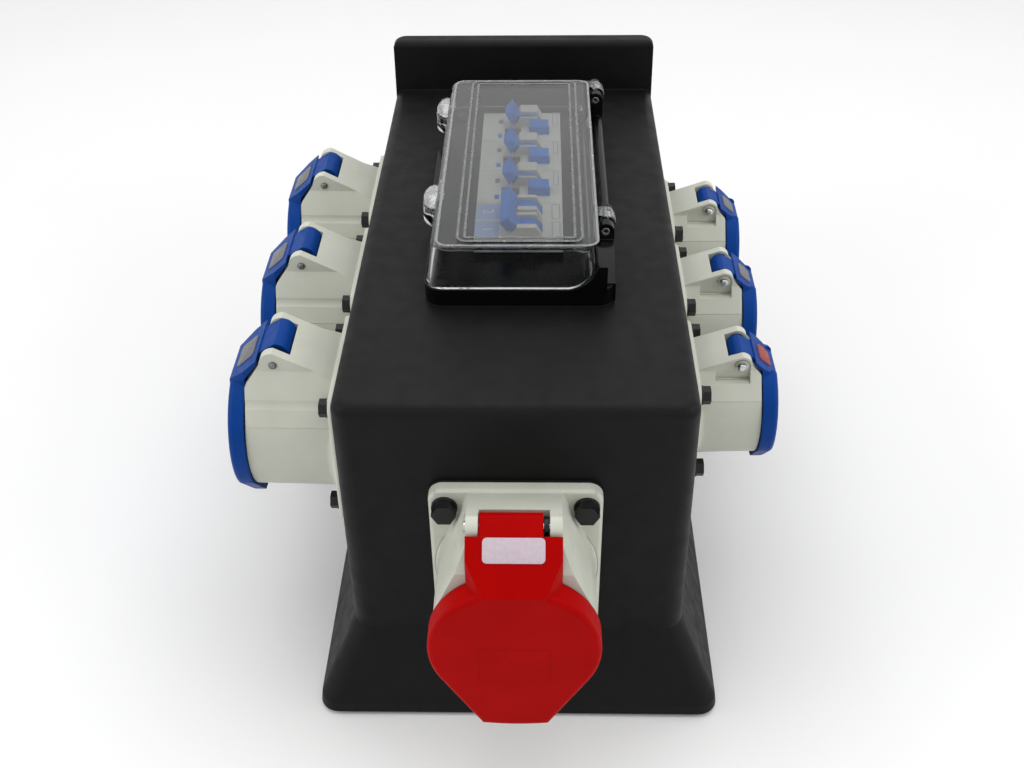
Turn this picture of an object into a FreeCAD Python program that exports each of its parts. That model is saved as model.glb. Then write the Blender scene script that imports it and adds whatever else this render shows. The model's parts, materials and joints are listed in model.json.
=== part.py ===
"""Portable power distribution box: a rubber enclosure with a flared foot and a rear upstand, three large
sockets on the left, three small ones on the right, one five-pole socket in front, a matching inlet behind,
and four circuit breakers under a clear hinged cover.

Millimetres. +Z is up, the front faces -Y, and the origin is the middle of the foot on the floor.
"""
import FreeCAD, Part
import math
import os
import re
import Sketcher

Vector = FreeCAD.Vector

# Driving sizes: name, millimetres, meaning.
ENCLOSURE_SIZES = [
    ("body_width", 164, "width of the top"),
    ("body_length", 334, "length of the top, upstand included"),
    ("body_height", 190, "height of the top above the floor"),
    ("body_draft", 1.8, "how far each wall leans in from foot to top"),
    ("foot_height", 47, "height at which the foot starts to flare"),
    ("foot_flare", 19.4, "how far the foot stands out"),
    ("foot_band", 8, "height of the upright band round the foot"),
    ("foot_edge", 2.5, "rounding of the edge on the floor"),
    ("foot_band_lean", 0.75, "how far that band leans in"),
    ("corner_radius", 10, "radius of the upright corners"),
    ("top_rounding", 6, "rounding of the top edge"),
    ("wall", 7, "wall of the enclosure"),
    ("upstand_height", 32, "height of the upstand above the top"),
    ("upstand_thickness", 14, "thickness of the upstand"),
    ("upstand_rounding", 3.5, "rounding of the upstand's upper edges"),
    ("base_thickness", 3, "thickness of the base plate"),
    ("base_ledge", 10, "width of the ledge that the base plate is screwed to"),
    ("base_screw_pitch", 76, "distance between the base screws along the box"),
    ("fit_gap", 0.3, "running gap between neighbouring pieces"),
    ("screw_radius", 2, "radius of the small screws"),
    ("screw_head_radius", 4, "radius of their heads"),
    ("screw_length", 10, "length of the small screws"),
    ("screw_head_height", 2.4, "height of the window screws' heads"),
    ("screw_head_top", 2.8, "radius of those heads on top"),
]

SOCKET_SIZES = [
    ("gasket_thickness", 1.5, "gasket under each flange"),
    ("flange_thickness", 6, "thickness of each flange"),
    ("flange_corner", 7, "corner radius of each flange"),
    ("flange_rounding", 2, "rounding of the flange's front edge"),
    ("barrel_flare", 1.5, "how much wider the barrel is at its flange"),
    ("flare_length", 3, "length of that flare"),
    ("flare_end", 0.45, "how much wider the barrel still is where the flare ends"),
    ("flare_radius", 6, "radius of the flare"),
    ("barrel_gap", 0.15, "gap round each barrel in its flange"),
    ("pin_radius", 2, "radius of the lid pins"),
    ("pin_gap", 0.08, "running gap round pins and screws"),
    ("pin_head_radius", 2.5, "radius of the lid pins' heads"),
    ("pin_head_height", 0.9, "height of the lid pins' heads"),
    ("slot_gap", 1, "gap round the lid's knuckle in its slot"),
    ("spring_room", 2.9, "room for the lid spring beside the knuckle"),
    ("relief_depth", 1, "depth of the relief in the side of the hinge block"),
    ("relief_rim", 1.1, "rim left round that relief"),
    ("relief_ramp_rim", 1.65, "rim left under the ramp"),
    ("hood_gap", 1.5, "gap between the hinge block and the hood of the lid"),
    ("cheek_lip", 1.2, "thickness of the hinge block's cheeks where they end on the barrel"),
    ("cheek_gap", 0.5, "distance of the cheeks from the barrel's rim"),
    ("ramp_drop", 1, "height of the flange's edge above the ramp of the hinge block"),
    ("hood_rise", 2, "height of the hood above the hinge pin"),
    ("lid_wall", 3, "wall of the lid's skirt"),
    ("lid_face", 3.5, "thickness of the lid's face"),
    ("lid_rounding", 2.5, "rounding of the lid's front edge"),
    ("seal_depth", 3, "depth of the seal in the lid"),
    ("seal_lap", 1, "how far the seal reaches inside the bore's edge"),
    ("ring_gap", 5.2, "ring gap between the contact carrier and the barrel"),
    ("carrier_recess", 9, "how far the contact carrier lies below the rim"),
    ("carrier_rear", 18, "how far the contact carrier reaches into the box"),
    ("carrier_ring", 4, "thickness of the ring that holds the carrier in the barrel"),
    ("carrier_gap", 0.1, "gap inside and outside that ring"),
    ("sleeve_wall", 0.9, "wall of the contact sleeves"),
    ("sleeve_recess", 1.5, "how far the sleeves lie below the carrier's face"),
    ("sleeve_tail", 6, "how far the sleeves stick out behind the carrier"),
    ("bolt_gap", 0.25, "gap round the bolts in their holes"),
    ("side_socket_height", 126, "height of the side sockets' axes"),
    ("end_socket_height", 100, "height of the front socket's and the inlet's axes"),
    ("big_gap", 9, "gap between the left sockets' flanges"),
    ("big_middle", -9, "place of the middle left socket along the box"),
    ("small_gap", 10, "gap between the right sockets' flanges"),
    ("small_middle", -7, "place of the middle right socket along the box"),
]

# Each family of sockets has the same forms at its own sizes: large, small, and the five-pole one.
FAMILIES = ("big", "small", "main")
FAMILY_SIZES = [
    ("flange_side", (4, 5.5, 3), "how far the flange reaches past the barrel at each side"),
    ("flange_end", (4, 4, 11.5), "how far it reaches past the barrel above and below"),
    ("bolt_side", (8.5, 6.5, 7.5), "distance of the bolts from the flange's sides"),
    ("bolt_end", (8.5, 7, 9.6), "distance of the bolts from its upper and lower edges"),
    ("barrel_radius", (35, 27, 37), "outer radius of the barrel at its rim"),
    ("barrel_wall", (5, 4.5, 4.5), "wall of the barrel at its rim"),
    ("rim", (50, 39, 48), "how far the barrel stands out of the wall"),
    ("lid_depth", (8.6, 8.3, 12), "how far the lid's face stands out of that rim"),
    ("pivot_out", (35.2, 28.6, 33), "how far the lid's pin stands out of the wall"),
    ("pivot_rise", (10.8, 5, 14.5), "height of the lid's pin above the barrel"),
    ("ear_radius", (6.8, 5.4, 6.3), "radius of the hinge block round the pin"),
    ("ear_half", (17.5, 13.5, 21), "half width of the hinge block"),
    ("slot_half", (12.4, 9, 15.5), "half width of its slot"),
    ("boss_radius", (4, 3.2, 3.8), "radius of the boss round the pin's head"),
    ("relief_back", (19.4, 15.7, 18.2), "how far the relief's rear end stands out of the wall"),
    ("relief_drop", (10.2, 8.1, 9.4), "depth of the relief below the pin"),
    ("spring_radius", (5.1, 4, 4.7), "outer radius of the lid spring"),
    ("lid_lap", (2, 1.5, 1.8), "how far the lid reaches past the barrel"),
    ("crease_drop", (3, 5, 3.3), "how far the crease below the lid's neck lies inside its edge"),
    ("crease_half", (13.5, 10, 13.5), "half width of the neck there"),
    ("tab_half", (12.5, 9.5, 15.5), "half width of the lifting tab"),
    ("tab_reach", (4, 2.5, 12.2), "how far the lifting tab reaches past the lid"),
    ("tab_bow", (100, 76, 112), "radius of the lifting tab's lower edge"),
    ("neck_root", (14.8, 11.4, 15.5), "height at which the neck starts inside the lid"),
    ("contact_circle", (12, 9, 14), "radius of the circle of contacts"),
    ("contact_radius", (3.7, 3.2, 3.7), "outer radius of a contact sleeve"),
    ("bolt_radius", (2.5, 2.5, 3), "radius of the flange bolts"),
    ("bolt_flat", (8, 8, 10), "width across flats of their heads"),
    ("bolt_collar_radius", (4.9, 4.9, 6), "radius of the collar under their heads"),
    ("bolt_collar_height", (1, 1, 1.6), "height of that collar"),
    ("bolt_head_height", (3.8, 3.8, 5), "height of their hexagons"),
]

INLET_SIZES = [
    ("shroud_radius", 32, "outer radius of the inlet's shroud"),
    ("shroud_wall", 2.8, "wall of the shroud"),
    ("shroud_length", 47, "how far the shroud stands out of the wall"),
    ("shroud_collar", 4, "height of the collar at its foot"),
    ("shroud_collar_lap", 4, "how much wider that collar is"),
    ("inlet_floor", 6, "thickness of the floor that carries the pins"),
    ("inlet_pin_radius", 3, "radius of the inlet's pins"),
    ("inlet_pin_length", 34, "free length of the inlet's pins"),
    ("inlet_pin_tail", 14, "length of the pins behind their floor"),
]

WINDOW_SIZES = [
    ("window_middle_x", 1, "middle of the window frame across the box"),
    ("window_middle_y", 7.5, "middle of the window frame along the box"),
    ("window_width", 92.5, "width of the window frame"),
    ("window_length", 195, "length of the window frame"),
    ("window_corner", 9, "corner radius of the window frame"),
    ("window_gasket_thickness", 1, "gasket under the window frame"),
    ("deck_height", 5.5, "height of the deck inside the frame"),
    ("rim_height", 3.5, "height of the frame's rim above its deck"),
    ("rim_wall", 3.5, "thickness of that rim"),
    ("window_screw_inset", 5.2, "distance of the window screws from that rim"),
    ("cover_height", 20.6, "height of the clear cover"),
    ("cover_wall", 2.5, "wall of the clear cover"),
    ("cover_lean", 3.2, "how far the cover's walls lean in"),
    ("cover_hinge_lean", 1.28, "the same on the side of the hinges"),
    ("cover_hinge_gap", 0.75, "gap between the cover and its hinge ears"),
    ("cover_rounding", 2.5, "rounding of the cover's upper edge"),
    ("panel_inset", 5, "how far the raised panel lies inside the cover's edge"),
    ("panel_left_inset", 12.5, "the same on the side of the latches"),
    ("panel_corner", 5, "corner radius of the raised panel"),
    ("panel_rise", 0.8, "height of the raised panel"),
    ("hinge_inset", 4.25, "distance of the cover's hinge from the window frame's edge"),
    ("hinge_rise", 23.5, "height of the cover's hinge above the frame's foot"),
    ("hinge_ear_radius", 4.4, "half width of the hinge ears"),
    ("hinge_lug_radius", 5.2, "radius of the cover's hinge lugs"),
    ("hinge_near", -60.5, "front of the near hinge"),
    ("hinge_far", 85.5, "front of the far hinge"),
    ("hinge_ear", 6, "thickness of the front ear of a hinge"),
    ("hinge_lug", 9, "thickness of a lug"),
    ("hinge_cap", 4, "thickness of the rear ear"),
    ("hinge_gap", 0.5, "gap beside a lug"),
    ("hinge_pin_radius", 2, "radius of the cover's hinge pins"),
    ("hinge_pin_bore", 1, "radius of the hole in them"),
    ("hinge_rib_height", 14, "height of the rib between the hinges"),
    ("hinge_rib_radius", 3.3, "radius of that rib"),
    ("hinge_rib_shift", 1.1, "how far its crown lies outside the hinge"),
    ("slope_start", 4.2, "distance of the slope before the near hinge from the frame's front"),
    ("slope_rise", 1.05, "height of that slope above the rim at its foot"),
    ("slope_radius", 70.5, "radius of that slope"),
    ("sweep_start", 19, "where the cover's lower edge starts to sweep up"),
    ("sweep_rise", 13, "how far it sweeps up"),
    ("sweep_radius", 17, "radius of the sweep"),
    ("sweep_gap", 0.39, "gap under the sweep"),
    ("latch_near", -25, "place of the near latch along the box"),
    ("latch_far", 78, "place of the far latch along the box"),
    ("latch_half", 13, "half length of a latch"),
    ("latch_flat", 4.33, "half length of its straight edge"),
    ("latch_radius", 12.35, "radius of its ends"),
    ("latch_reach", 4.3, "how far a latch stands out"),
    ("latch_height", 9, "height of a latch"),
    ("latch_lift", 3, "height of a latch above the frame"),
    ("rib_tab_length", 52, "length of the tab on the frame between the latches"),
    ("rib_tab_reach", 2.2, "how far that tab stands out"),
    ("rib_tab_height", 5, "height of that tab"),
]

BREAKER_SIZES = [
    ("module_width", 17.5, "width of one breaker pole"),
    ("row_middle", 19.4, "middle of the row of breakers along the box"),
    ("row_poles", 8, "poles in the row of breakers"),
    ("nose_rise", 12.5, "height of the breakers' noses above the top"),
    ("nose_half", 22.5, "half width of a nose"),
    ("nose_depth", 24, "depth of a nose"),
    ("nose_gap", 0.5, "gap between the noses and the deck"),
    ("case_half", 43, "half width of a breaker"),
    ("case_depth", 68, "depth of a breaker from nose to back"),
    ("case_chamfer", 8, "chamfer at the back of a breaker"),
    ("case_gap", 0.1, "gap between breakers"),
    ("rail_half", 17.5, "half width of the rail"),
    ("rail_hat_half", 13.5, "half width of the rail's hat"),
    ("rail_height", 7.5, "height of the rail"),
    ("rail_sheet", 1, "sheet thickness of the rail"),
    ("rail_seat", 4.5, "depth of the seat for the rail"),
    ("rail_seat_gap", 0.4, "gap beside the rail in its seat"),
    ("rail_spare", 9, "length of rail beyond the row at each end"),
    ("bracket_sheet", 2.5, "sheet thickness of the rail brackets"),
    ("bracket_half", 15, "half width of the rail brackets"),
    ("bracket_tab", 9, "length of their tabs"),
    ("drum_x", 4, "place of the levers' axes across the box"),
    ("drum_below", 5, "depth of the levers' axes below the noses"),
    ("drum_radius", 9, "radius of a lever's drum"),
    ("drum_gap", 0.4, "gap round the drum"),
    ("hump_foot", 8, "half width of the hump over a drum at its foot"),
    ("hump_crown", 4.8, "half width of that hump at its crown"),
    ("hump_height", 5.6, "height of that hump"),
    ("rcbo_drum", 5.6, "width of a drum with a paddle"),
    ("rcbo_drum_y", 4.6, "its place along its breaker"),
    ("rcbo_hump_near", 0.2, "near end of its hump"),
    ("rcbo_hump_far", 16.8, "far end of its hump"),
    ("mcb_drum", 8.2, "width of a drum of the linked levers"),
    ("mcb_drum_y", 9.4, "its distance from the near side of its pole"),
    ("mcb_hump_near", 1.2, "near end of its hump from there"),
    ("mcb_hump_far", 16.6, "far end of its hump from there"),
    ("lever_lean", 38, "degrees that a lever leans left when on"),
    ("lever_arm", 2.2, "half thickness of a lever's arm"),
    ("lever_reach", 18.5, "distance of a lever's tip from its axis"),
    ("paddle_start", 12.4, "distance at which a lever's paddle starts"),
    ("paddle_half", 2.6, "half thickness of a paddle"),
    ("paddle_length", 17, "length of a paddle along the row"),
    ("paddle_point", 4, "length of its pointed ends"),
    ("link_length", 32, "length of the bar that links two levers"),
    ("button_x", 10.1, "place of the test button across the box"),
    ("button_y", -5, "place of the test button along its breaker"),
    ("button_width", 10.8, "width of the test button"),
    ("button_length", 9.2, "length of the test button"),
    ("button_height", 10, "height of the test button"),
    ("button_proud", 5, "how far the test button stands up"),
    ("button_travel", 2, "room below the test button"),
    ("button_rounding", 0.6, "rounding of its upper edge"),
    ("status_x", -5, "place of the status window across the box"),
    ("status_y", -7.6, "place of the status window along its breaker"),
    ("status_width", 9.6, "width of the status window"),
    ("status_length", 14.2, "length of the status window"),
    ("status_depth", 1, "depth of the status window"),
    ("lamp_x", -12.2, "place of the two small marks across the box"),
    ("lamp_far", 6.2, "place of the far mark along its breaker"),
    ("lamp_near", -11.1, "place of the near mark along its breaker"),
    ("lamp_side", 2.2, "side of a small mark"),
    ("lamp_depth", 0.4, "depth of a small mark"),
    ("bar_length", 120, "length of the earth and neutral bars"),
    ("bar_width", 10, "width of those bars"),
    ("bar_height", 8, "height of those bars"),
    ("bar_x", 26, "place of the bars across the box"),
    ("bar_hole_radius", 2.2, "radius of their wire holes"),
    ("bar_hole_pitch", 12, "distance between their wire holes"),
    ("bar_post_height", 12, "height of the bars' insulators"),
    ("bar_post_half", 7, "half width of the bars' insulators"),
    ("bar_post_corner", 2.33, "corner radius of the insulators"),
    ("bar_post_inset", 14, "distance of the insulators from the bars' ends"),
]

doc = FreeCAD.newDocument("power_distribution_box")
sheet = doc.addObject("Spreadsheet::Sheet", "Sizes")
pieces = {}


def fill_sheet():
    rows = ENCLOSURE_SIZES + SOCKET_SIZES + INLET_SIZES + WINDOW_SIZES + BREAKER_SIZES
    for name, numbers, meaning in FAMILY_SIZES:
        for family, number in zip(FAMILIES, numbers):
            rows = rows + [(f"{family}_{name}", number, f"{meaning}, {family} sockets")]
    for row, (name, number, meaning) in enumerate(rows, start=1):
        sheet.set(f"A{row}", meaning)
        sheet.set(f"B{row}", str(number))
        sheet.setAlias(f"B{row}", name)
    doc.recompute()
    return {name for name, number, meaning in rows}


NAMES = fill_sheet()


def formula(text):
    """The text as an expression: every size's name gets the sheet's name in front."""
    return re.sub(r"[a-z_]+[a-z0-9_]*", lambda word: _with_sheet(word.group()), str(text))


def _with_sheet(word):
    return f"Sizes.{word}" if word in NAMES else word


def value(text):
    return float(sheet.evalExpression(str(text)))


def bind(item, prop, text):
    item.setExpression(prop, formula(text))


def new_body(name):
    return doc.addObject("PartDesign::Body", name)


def sketch(body, role, offset="0"):
    """An empty sketch on an origin plane of the body, moved along the plane's normal by the offset."""
    drawing = body.newObject("Sketcher::SketchObject", "outline")
    plane = [item for item in body.Origin.OriginFeatures if item.Role == role][0]
    drawing.AttachmentSupport = [(plane, "")]
    drawing.MapMode = "FlatFace"
    bind(drawing, "AttachmentOffset.Base.z", offset)
    return drawing


def hold(drawing, kind, places, text, number):
    """A dimension of the sketch that follows a formula."""
    index = drawing.addConstraint(Sketcher.Constraint(kind, *places, number))
    name = f"size{index}"
    drawing.renameConstraint(index, name)
    bind(drawing, f"Constraints.{name}", text)


def hold_point(drawing, curve, end, x_text, y_text):
    hold(drawing, "DistanceX", (-1, 1, curve, end), x_text, value(x_text))
    hold(drawing, "DistanceY", (-1, 1, curve, end), y_text, value(y_text))


def circle(drawing, x_text, y_text, radius):
    centre = Vector(value(x_text), value(y_text), 0)
    curve = drawing.addGeometry(Part.Circle(centre, Vector(0, 0, 1), value(radius)), False)
    hold_point(drawing, curve, 3, x_text, y_text)
    hold(drawing, "Radius", (curve,), radius, value(radius))


def arc_between(start, finish, radius):
    """The shorter arc from start to finish; a positive radius turns left, a negative one turns right."""
    chord = finish - start
    middle = (start + finish) * 0.5
    square = radius * radius - chord.Length * chord.Length / 4
    rise = math.sqrt(max(square, 0))
    left = Vector(-chord.y, chord.x, 0).normalize()
    centre = middle + left * (rise if radius > 0 else -rise)
    first, last = (start, finish) if radius > 0 else (finish, start)
    begin = math.atan2(first.y - centre.y, first.x - centre.x)
    end = math.atan2(last.y - centre.y, last.x - centre.x)
    return Part.ArcOfCircle(Part.Circle(centre, Vector(0, 0, 1), abs(radius)), begin, end)


def outline(drawing, corners):
    """A closed outline. A corner is (x, y), or (x, y, radius, side) where an arc leads to it."""
    spots = [Vector(value(corner[0]), value(corner[1]), 0) for corner in corners]
    ends = []
    for index, corner in enumerate(corners):
        start = spots[index - 1]
        finish = spots[index]
        if len(corner) == 2:
            curve = drawing.addGeometry(Part.LineSegment(start, finish), False)
            ends.append((curve, 1, 2))
            continue
        radius, side = corner[2:]
        shape = arc_between(start, finish, side * value(radius))
        curve = drawing.addGeometry(shape, False)
        hold(drawing, "Radius", (curve,), radius, value(radius))
        ends.append((curve, 1, 2) if side > 0 else (curve, 2, 1))
    for index, corner in enumerate(corners):
        curve, start, finish = ends[index]
        following = ends[(index + 1) % len(ends)]
        joint = Sketcher.Constraint("Coincident", curve, finish, following[0], following[1])
        drawing.addConstraint(joint)
        hold_point(drawing, curve, finish, corner[0], corner[1])


def rounded_rectangle(drawing, x_text, y_text, width, height, radius):
    left = f"{x_text} - ({width}) / 2"
    right = f"{x_text} + ({width}) / 2"
    low = f"{y_text} - ({height}) / 2"
    high = f"{y_text} + ({height}) / 2"
    outline(drawing, [
        (f"{right} - ({radius})", low),
        (right, f"{low} + ({radius})", radius, 1),
        (right, f"{high} - ({radius})"),
        (f"{right} - ({radius})", high, radius, 1),
        (f"{left} + ({radius})", high),
        (left, f"{high} - ({radius})", radius, 1),
        (left, f"{low} + ({radius})"),
        (f"{left} + ({radius})", low, radius, 1),
    ])


def rectangle(drawing, left, right, low, high):
    outline(drawing, [(left, low), (right, low), (right, high), (left, high)])


def extrude(body, kind, drawing, length, both_ways=False, backwards=False):
    feature = body.newObject(kind, "feature")
    feature.Profile = drawing
    bind(feature, "Length", length)
    if both_ways:
        feature.SideType = "Symmetric"
    feature.Reversed = backwards
    doc.recompute()
    return feature


def pad(body, drawing, length, both_ways=False):
    return extrude(body, "PartDesign::Pad", drawing, length, both_ways)


def pocket(body, drawing, length, both_ways=False, backwards=False):
    """Removes the drawing's outline from the body and makes sure that something was removed."""
    before = body.Shape.Volume
    feature = extrude(body, "PartDesign::Pocket", drawing, length, both_ways, backwards)
    if feature.Shape.Volume > before - 1e-6:
        raise ValueError(f"a pocket of {body.Name} removes nothing")
    return feature


def revolve(body, drawing, axis, kind="PartDesign::Revolution"):
    feature = body.newObject(kind, "turned")
    feature.Profile = drawing
    feature.ReferenceAxis = (drawing, [axis])
    feature.Angle = 360
    doc.recompute()
    return feature


def loft(body, kind, drawings):
    feature = body.newObject(kind, "lofted")
    feature.Profile = drawings[0]
    feature.Sections = drawings[1:]
    feature.Ruled = True
    doc.recompute()
    if not feature.Shape.isValid():
        raise ValueError(f"a loft of {body.Name} failed")
    return feature


def round_edges(body, feature, radius, chosen):
    """Rounds the feature's edges for which chosen(bounding box) is true."""
    names = [
        f"Edge{index}"
        for index, edge in enumerate(feature.Shape.Edges, start=1)
        if chosen(edge.BoundBox)
    ]
    fillet = body.newObject("PartDesign::Fillet", "rounding")
    fillet.Base = (feature, names)
    bind(fillet, "Radius", radius)
    doc.recompute()
    if not fillet.Shape.isValid():
        raise ValueError(f"a rounding of {body.Name} failed")
    return fillet


def name_piece(item, label):
    item.Label = label
    pieces[label] = item


def placed(form, place, name):
    """A copy of a form at a place; the form keeps its own axes."""
    copy = gathered([form], name)
    copy.Placement = place
    return copy


def gathered(items, name):
    together = doc.addObject("Part::Compound", name)
    together.Links = items
    return together


def group(items, label):
    name_piece(gathered(items, label), label)


def at(x, y, z):
    return FreeCAD.Placement(Vector(x, y, z), FreeCAD.Rotation())


def near(number, target):
    return abs(number - target) < 1e-3


# Enclosure
def section(body, height, outset, radius):
    """A rounded rectangle at a height, standing out from the top's outline by the outset."""
    drawing = sketch(body, "XY_Plane", height)
    rounded_rectangle(
        drawing, "0", "0", f"body_width + 2 * ({outset})", f"body_length + 2 * ({outset})", radius
    )
    return drawing


def rounding_steps(radius):
    """Insets and drops that follow a quarter circle from an upright wall to a level top."""
    steps = []
    for angle in (0, 30, 60, 90):
        steps.append((f"{radius} * (1 - cos({angle} deg))", f"{radius} * (1 - sin({angle} deg))"))
    return steps


CREST = "(body_height + upstand_height)"


def lean_in(feature):
    """Gives a pad or pocket the draft of the walls."""
    bind(feature, "TaperAngle", "-atan(body_draft / (body_height - foot_height))")
    doc.recompute()


def enclosure_form():
    """A flared foot, walls that lean in up to the crest, and a step that leaves the upstand at the back."""
    body = new_body("enclosure_form")
    foot = "body_draft + foot_flare"
    loft(body, "PartDesign::AdditiveLoft", [
        section(body, "0", f"{foot} - foot_edge", "corner_radius"),
        section(body, "foot_edge", foot, "corner_radius"),
        section(body, "foot_band", f"{foot} - foot_band_lean", "corner_radius"),
        section(body, "foot_height", "body_draft", "corner_radius"),
    ])
    walls = section(body, "foot_height", "body_draft", "corner_radius")
    lean_in(pad(body, walls, f"{CREST} - foot_height"))
    step = sketch(body, "XY_Plane", CREST)
    rectangle(
        step, "-body_width", "body_width", "-body_length", "body_length / 2 - upstand_thickness"
    )
    stepped = pocket(body, step, "upstand_height")
    top = value("body_height")
    crest = value(CREST)
    root = value("body_length / 2 - upstand_thickness")
    rounded = round_edges(
        body, stepped, "top_rounding",
        lambda box: near(box.ZMin, top) and near(box.ZMax, top) and box.YMin < root - 1,
    )
    round_edges(
        body, rounded, "upstand_rounding", lambda box: near(box.ZMin, crest) and near(box.ZMax, crest)
    )
    whole_draft = "body_draft * body_height / (body_height - foot_height)"
    inner = section(body, "0", f"{whole_draft} - wall", "corner_radius - wall / 2")
    lean_in(pocket(body, inner, "body_height - wall", backwards=True))
    seat = section(body, "0", "body_draft - wall + base_ledge", "corner_radius")
    pocket(body, seat, "base_thickness", backwards=True)
    return body


def base_screw_places():
    across = value("body_width / 2 + body_draft - wall + base_ledge / 2")
    pitch = value("base_screw_pitch")
    sides = [(side * across, step * pitch) for side in (-1, 1) for step in (-1.5, -0.5, 0.5, 1.5)]
    along = value("body_length / 2 + body_draft - wall + base_ledge / 2")
    ends = [(0, side * along) for side in (-1, 1)]
    return sides + ends


def cutter(radius, length, place):
    """A round cutter along +Z of the place."""
    tool = doc.addObject("Part::Cylinder", "cutter")
    bind(tool, "Radius", radius)
    bind(tool, "Height", length)
    tool.Placement = place
    return tool


def base_plate():
    body = new_body("base_plate_form")
    drawing = sketch(body, "XY_Plane")
    outset = "body_draft - wall + base_ledge - fit_gap"
    rounded_rectangle(
        drawing, "0", "0", f"body_width + 2 * ({outset})", f"body_length + 2 * ({outset})", "corner_radius"
    )
    pad(body, drawing, "base_thickness")
    holes = [countersunk("screw_radius + pin_gap", "screw_head_radius + pin_gap", x, y)
             for x, y in base_screw_places()]
    name_piece(cut(body, holes, "base_plate"), "base_plate")


def countersunk(shank, head, x, y):
    """The outline of a countersunk screw standing on its head at the underside."""
    body = new_body("countersunk_form")
    drawing = sketch(body, "XZ_Plane")
    outline(drawing, [
        ("0", "0"),
        (head, "0"),
        (shank, f"{head} - {shank}"),
        (shank, "screw_length"),
        ("0", "screw_length"),
    ])
    revolve(body, drawing, "V_Axis")
    body.Placement = at(x, y, 0)
    return body


def cut(base, tools, name):
    result = doc.addObject("Part::Cut", name)
    result.Base = base
    result.Tool = gathered(tools, f"{name}_cutters")
    doc.recompute()
    return result


def base_screws():
    screws = [countersunk("screw_radius", "screw_head_radius", x, y) for x, y in base_screw_places()]
    group(screws, "base_screws")


# Socket places: the sockets' own axes have +Z up and the lid facing -Y, with the wall at y = 0.
def wall_lean():
    return math.degrees(math.atan2(value("body_draft"), value("body_height - foot_height")))


def wall_outset(height):
    """How far the wall at a height stands out from the top's outline."""
    return value(f"body_draft * (body_height - {height}) / (body_height - foot_height)")


def flange_width(family):
    return f"(2 * ({family}_barrel_radius + {family}_flange_side))"


def flange_height(family):
    return f"(2 * ({family}_barrel_radius + {family}_flange_end))"


def bolt_across(family):
    return f"({flange_width(family)} - 2 * {family}_bolt_side)"


def bolt_upright(family):
    return f"({flange_height(family)} - 2 * {family}_bolt_end)"


def pitch(family):
    return f"({flange_width(family)} + {family}_gap)"


def bore_radius(family):
    return f"({family}_barrel_radius - {family}_barrel_wall)"


def pivot_up(family):
    return f"({family}_barrel_radius + {family}_pivot_rise)"


def lid_radius(family):
    return f"({family}_barrel_radius + {family}_lid_lap)"


def face_out(family):
    return f"({family}_rim + {family}_lid_depth)"


def crease_up(family):
    return f"({lid_radius(family)} - {family}_crease_drop)"


def tab_down(family):
    return f"({lid_radius(family)} + {family}_tab_reach)"


def socket_place(turn, height, along):
    """A place on the wall that faces the turned -Y, at a height, moved along the wall."""
    half = value("body_length / 2" if turn in (0, 180) else "body_width / 2")
    out = half + wall_outset(height)
    spin = FreeCAD.Rotation(Vector(0, 0, 1), turn)
    outward = spin.multVec(Vector(0, -1, 0))
    lean = FreeCAD.Rotation(Vector(1, 0, 0), -wall_lean())
    spot = outward * out + Vector(0, 0, height)
    if turn in (90, -90):
        spot = spot + Vector(0, along, 0)
    return FreeCAD.Placement(spot, spin.multiply(lean))


def socket_places():
    """Every socket's name, family and place; numbers run from the front to the back."""
    side = value("side_socket_height")
    end = value("end_socket_height")
    places = []
    for number in (1, 2, 3):
        along = value(f"big_middle + {pitch('big')} * ({number} - 2)")
        places.append((f"left_socket_{number}", "big", socket_place(-90, side, along)))
    for number in (1, 2, 3):
        along = value(f"small_middle + {pitch('small')} * ({number} - 2)")
        places.append((f"right_socket_{number}", "small", socket_place(90, side, along)))
    places.append(("front_socket", "main", socket_place(0, end, 0)))
    return places


def inlet_place():
    return socket_place(180, value("end_socket_height"), 0)


def bolt_spots(family):
    across = f"{bolt_across(family)} / 2"
    upright = f"{bolt_upright(family)} / 2"
    return [(f"{h}({across})", f"{v}({upright})") for h in ("-", "") for v in ("-", "")]


def draw_bolt_holes(drawing, family):
    for x_text, z_text in bolt_spots(family):
        circle(drawing, x_text, z_text, f"{family}_bolt_radius + bolt_gap")


def flange(body, family):
    drawing = sketch(body, "XZ_Plane", "gasket_thickness")
    rounded_rectangle(
        drawing, "0", "0", flange_width(family), flange_height(family), "flange_corner"
    )
    plate = pad(body, drawing, "flange_thickness")
    front = value("-gasket_thickness - flange_thickness")
    round_edges(
        body, plate, "flange_rounding", lambda box: near(box.YMin, front) and near(box.YMax, front)
    )


FLANGE_FRONT = "(gasket_thickness + flange_thickness)"


def flange_holes(body, family):
    holes = sketch(body, "XZ_Plane", FLANGE_FRONT)
    draw_bolt_holes(holes, family)
    pocket(body, holes, "flange_thickness")


def barrel_section(body, family, outset="0"):
    """Half of the barrel's section, made wider by the outset."""
    drawing = sketch(body, "YZ_Plane")
    narrow = f"{family}_barrel_radius + {outset}"
    wide = f"{narrow} + barrel_flare"
    outline(drawing, [
        ("-gasket_thickness", "0"),
        ("-gasket_thickness", wide),
        (f"-{FLANGE_FRONT}", wide),
        (f"-{FLANGE_FRONT} - flare_length", f"{narrow} + flare_end", "flare_radius", -1),
        (f"-{family}_rim", narrow),
        (f"-{family}_rim", "0"),
    ])
    return drawing


def ramp_foot(family):
    return f"({flange_height(family)} / 2 - ramp_drop)"


def cheek_start(family):
    """Height below which the cheeks of the hinge block spread."""
    return f"({pivot_up(family)} - {family}_ear_radius / 2)"


def cheek_end(family):
    """Where the line from there touches the circle on which the cheeks end."""
    across = f"{family}_ear_half"
    up = cheek_start(family)
    radius = f"({family}_barrel_radius + cheek_lip)"
    angle = f"(atan2({up}; {across}) - acos({radius} / sqrt({across}^2 + {up}^2)))"
    return f"({radius} * cos({angle}))", f"({radius} * sin({angle}))"


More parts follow.
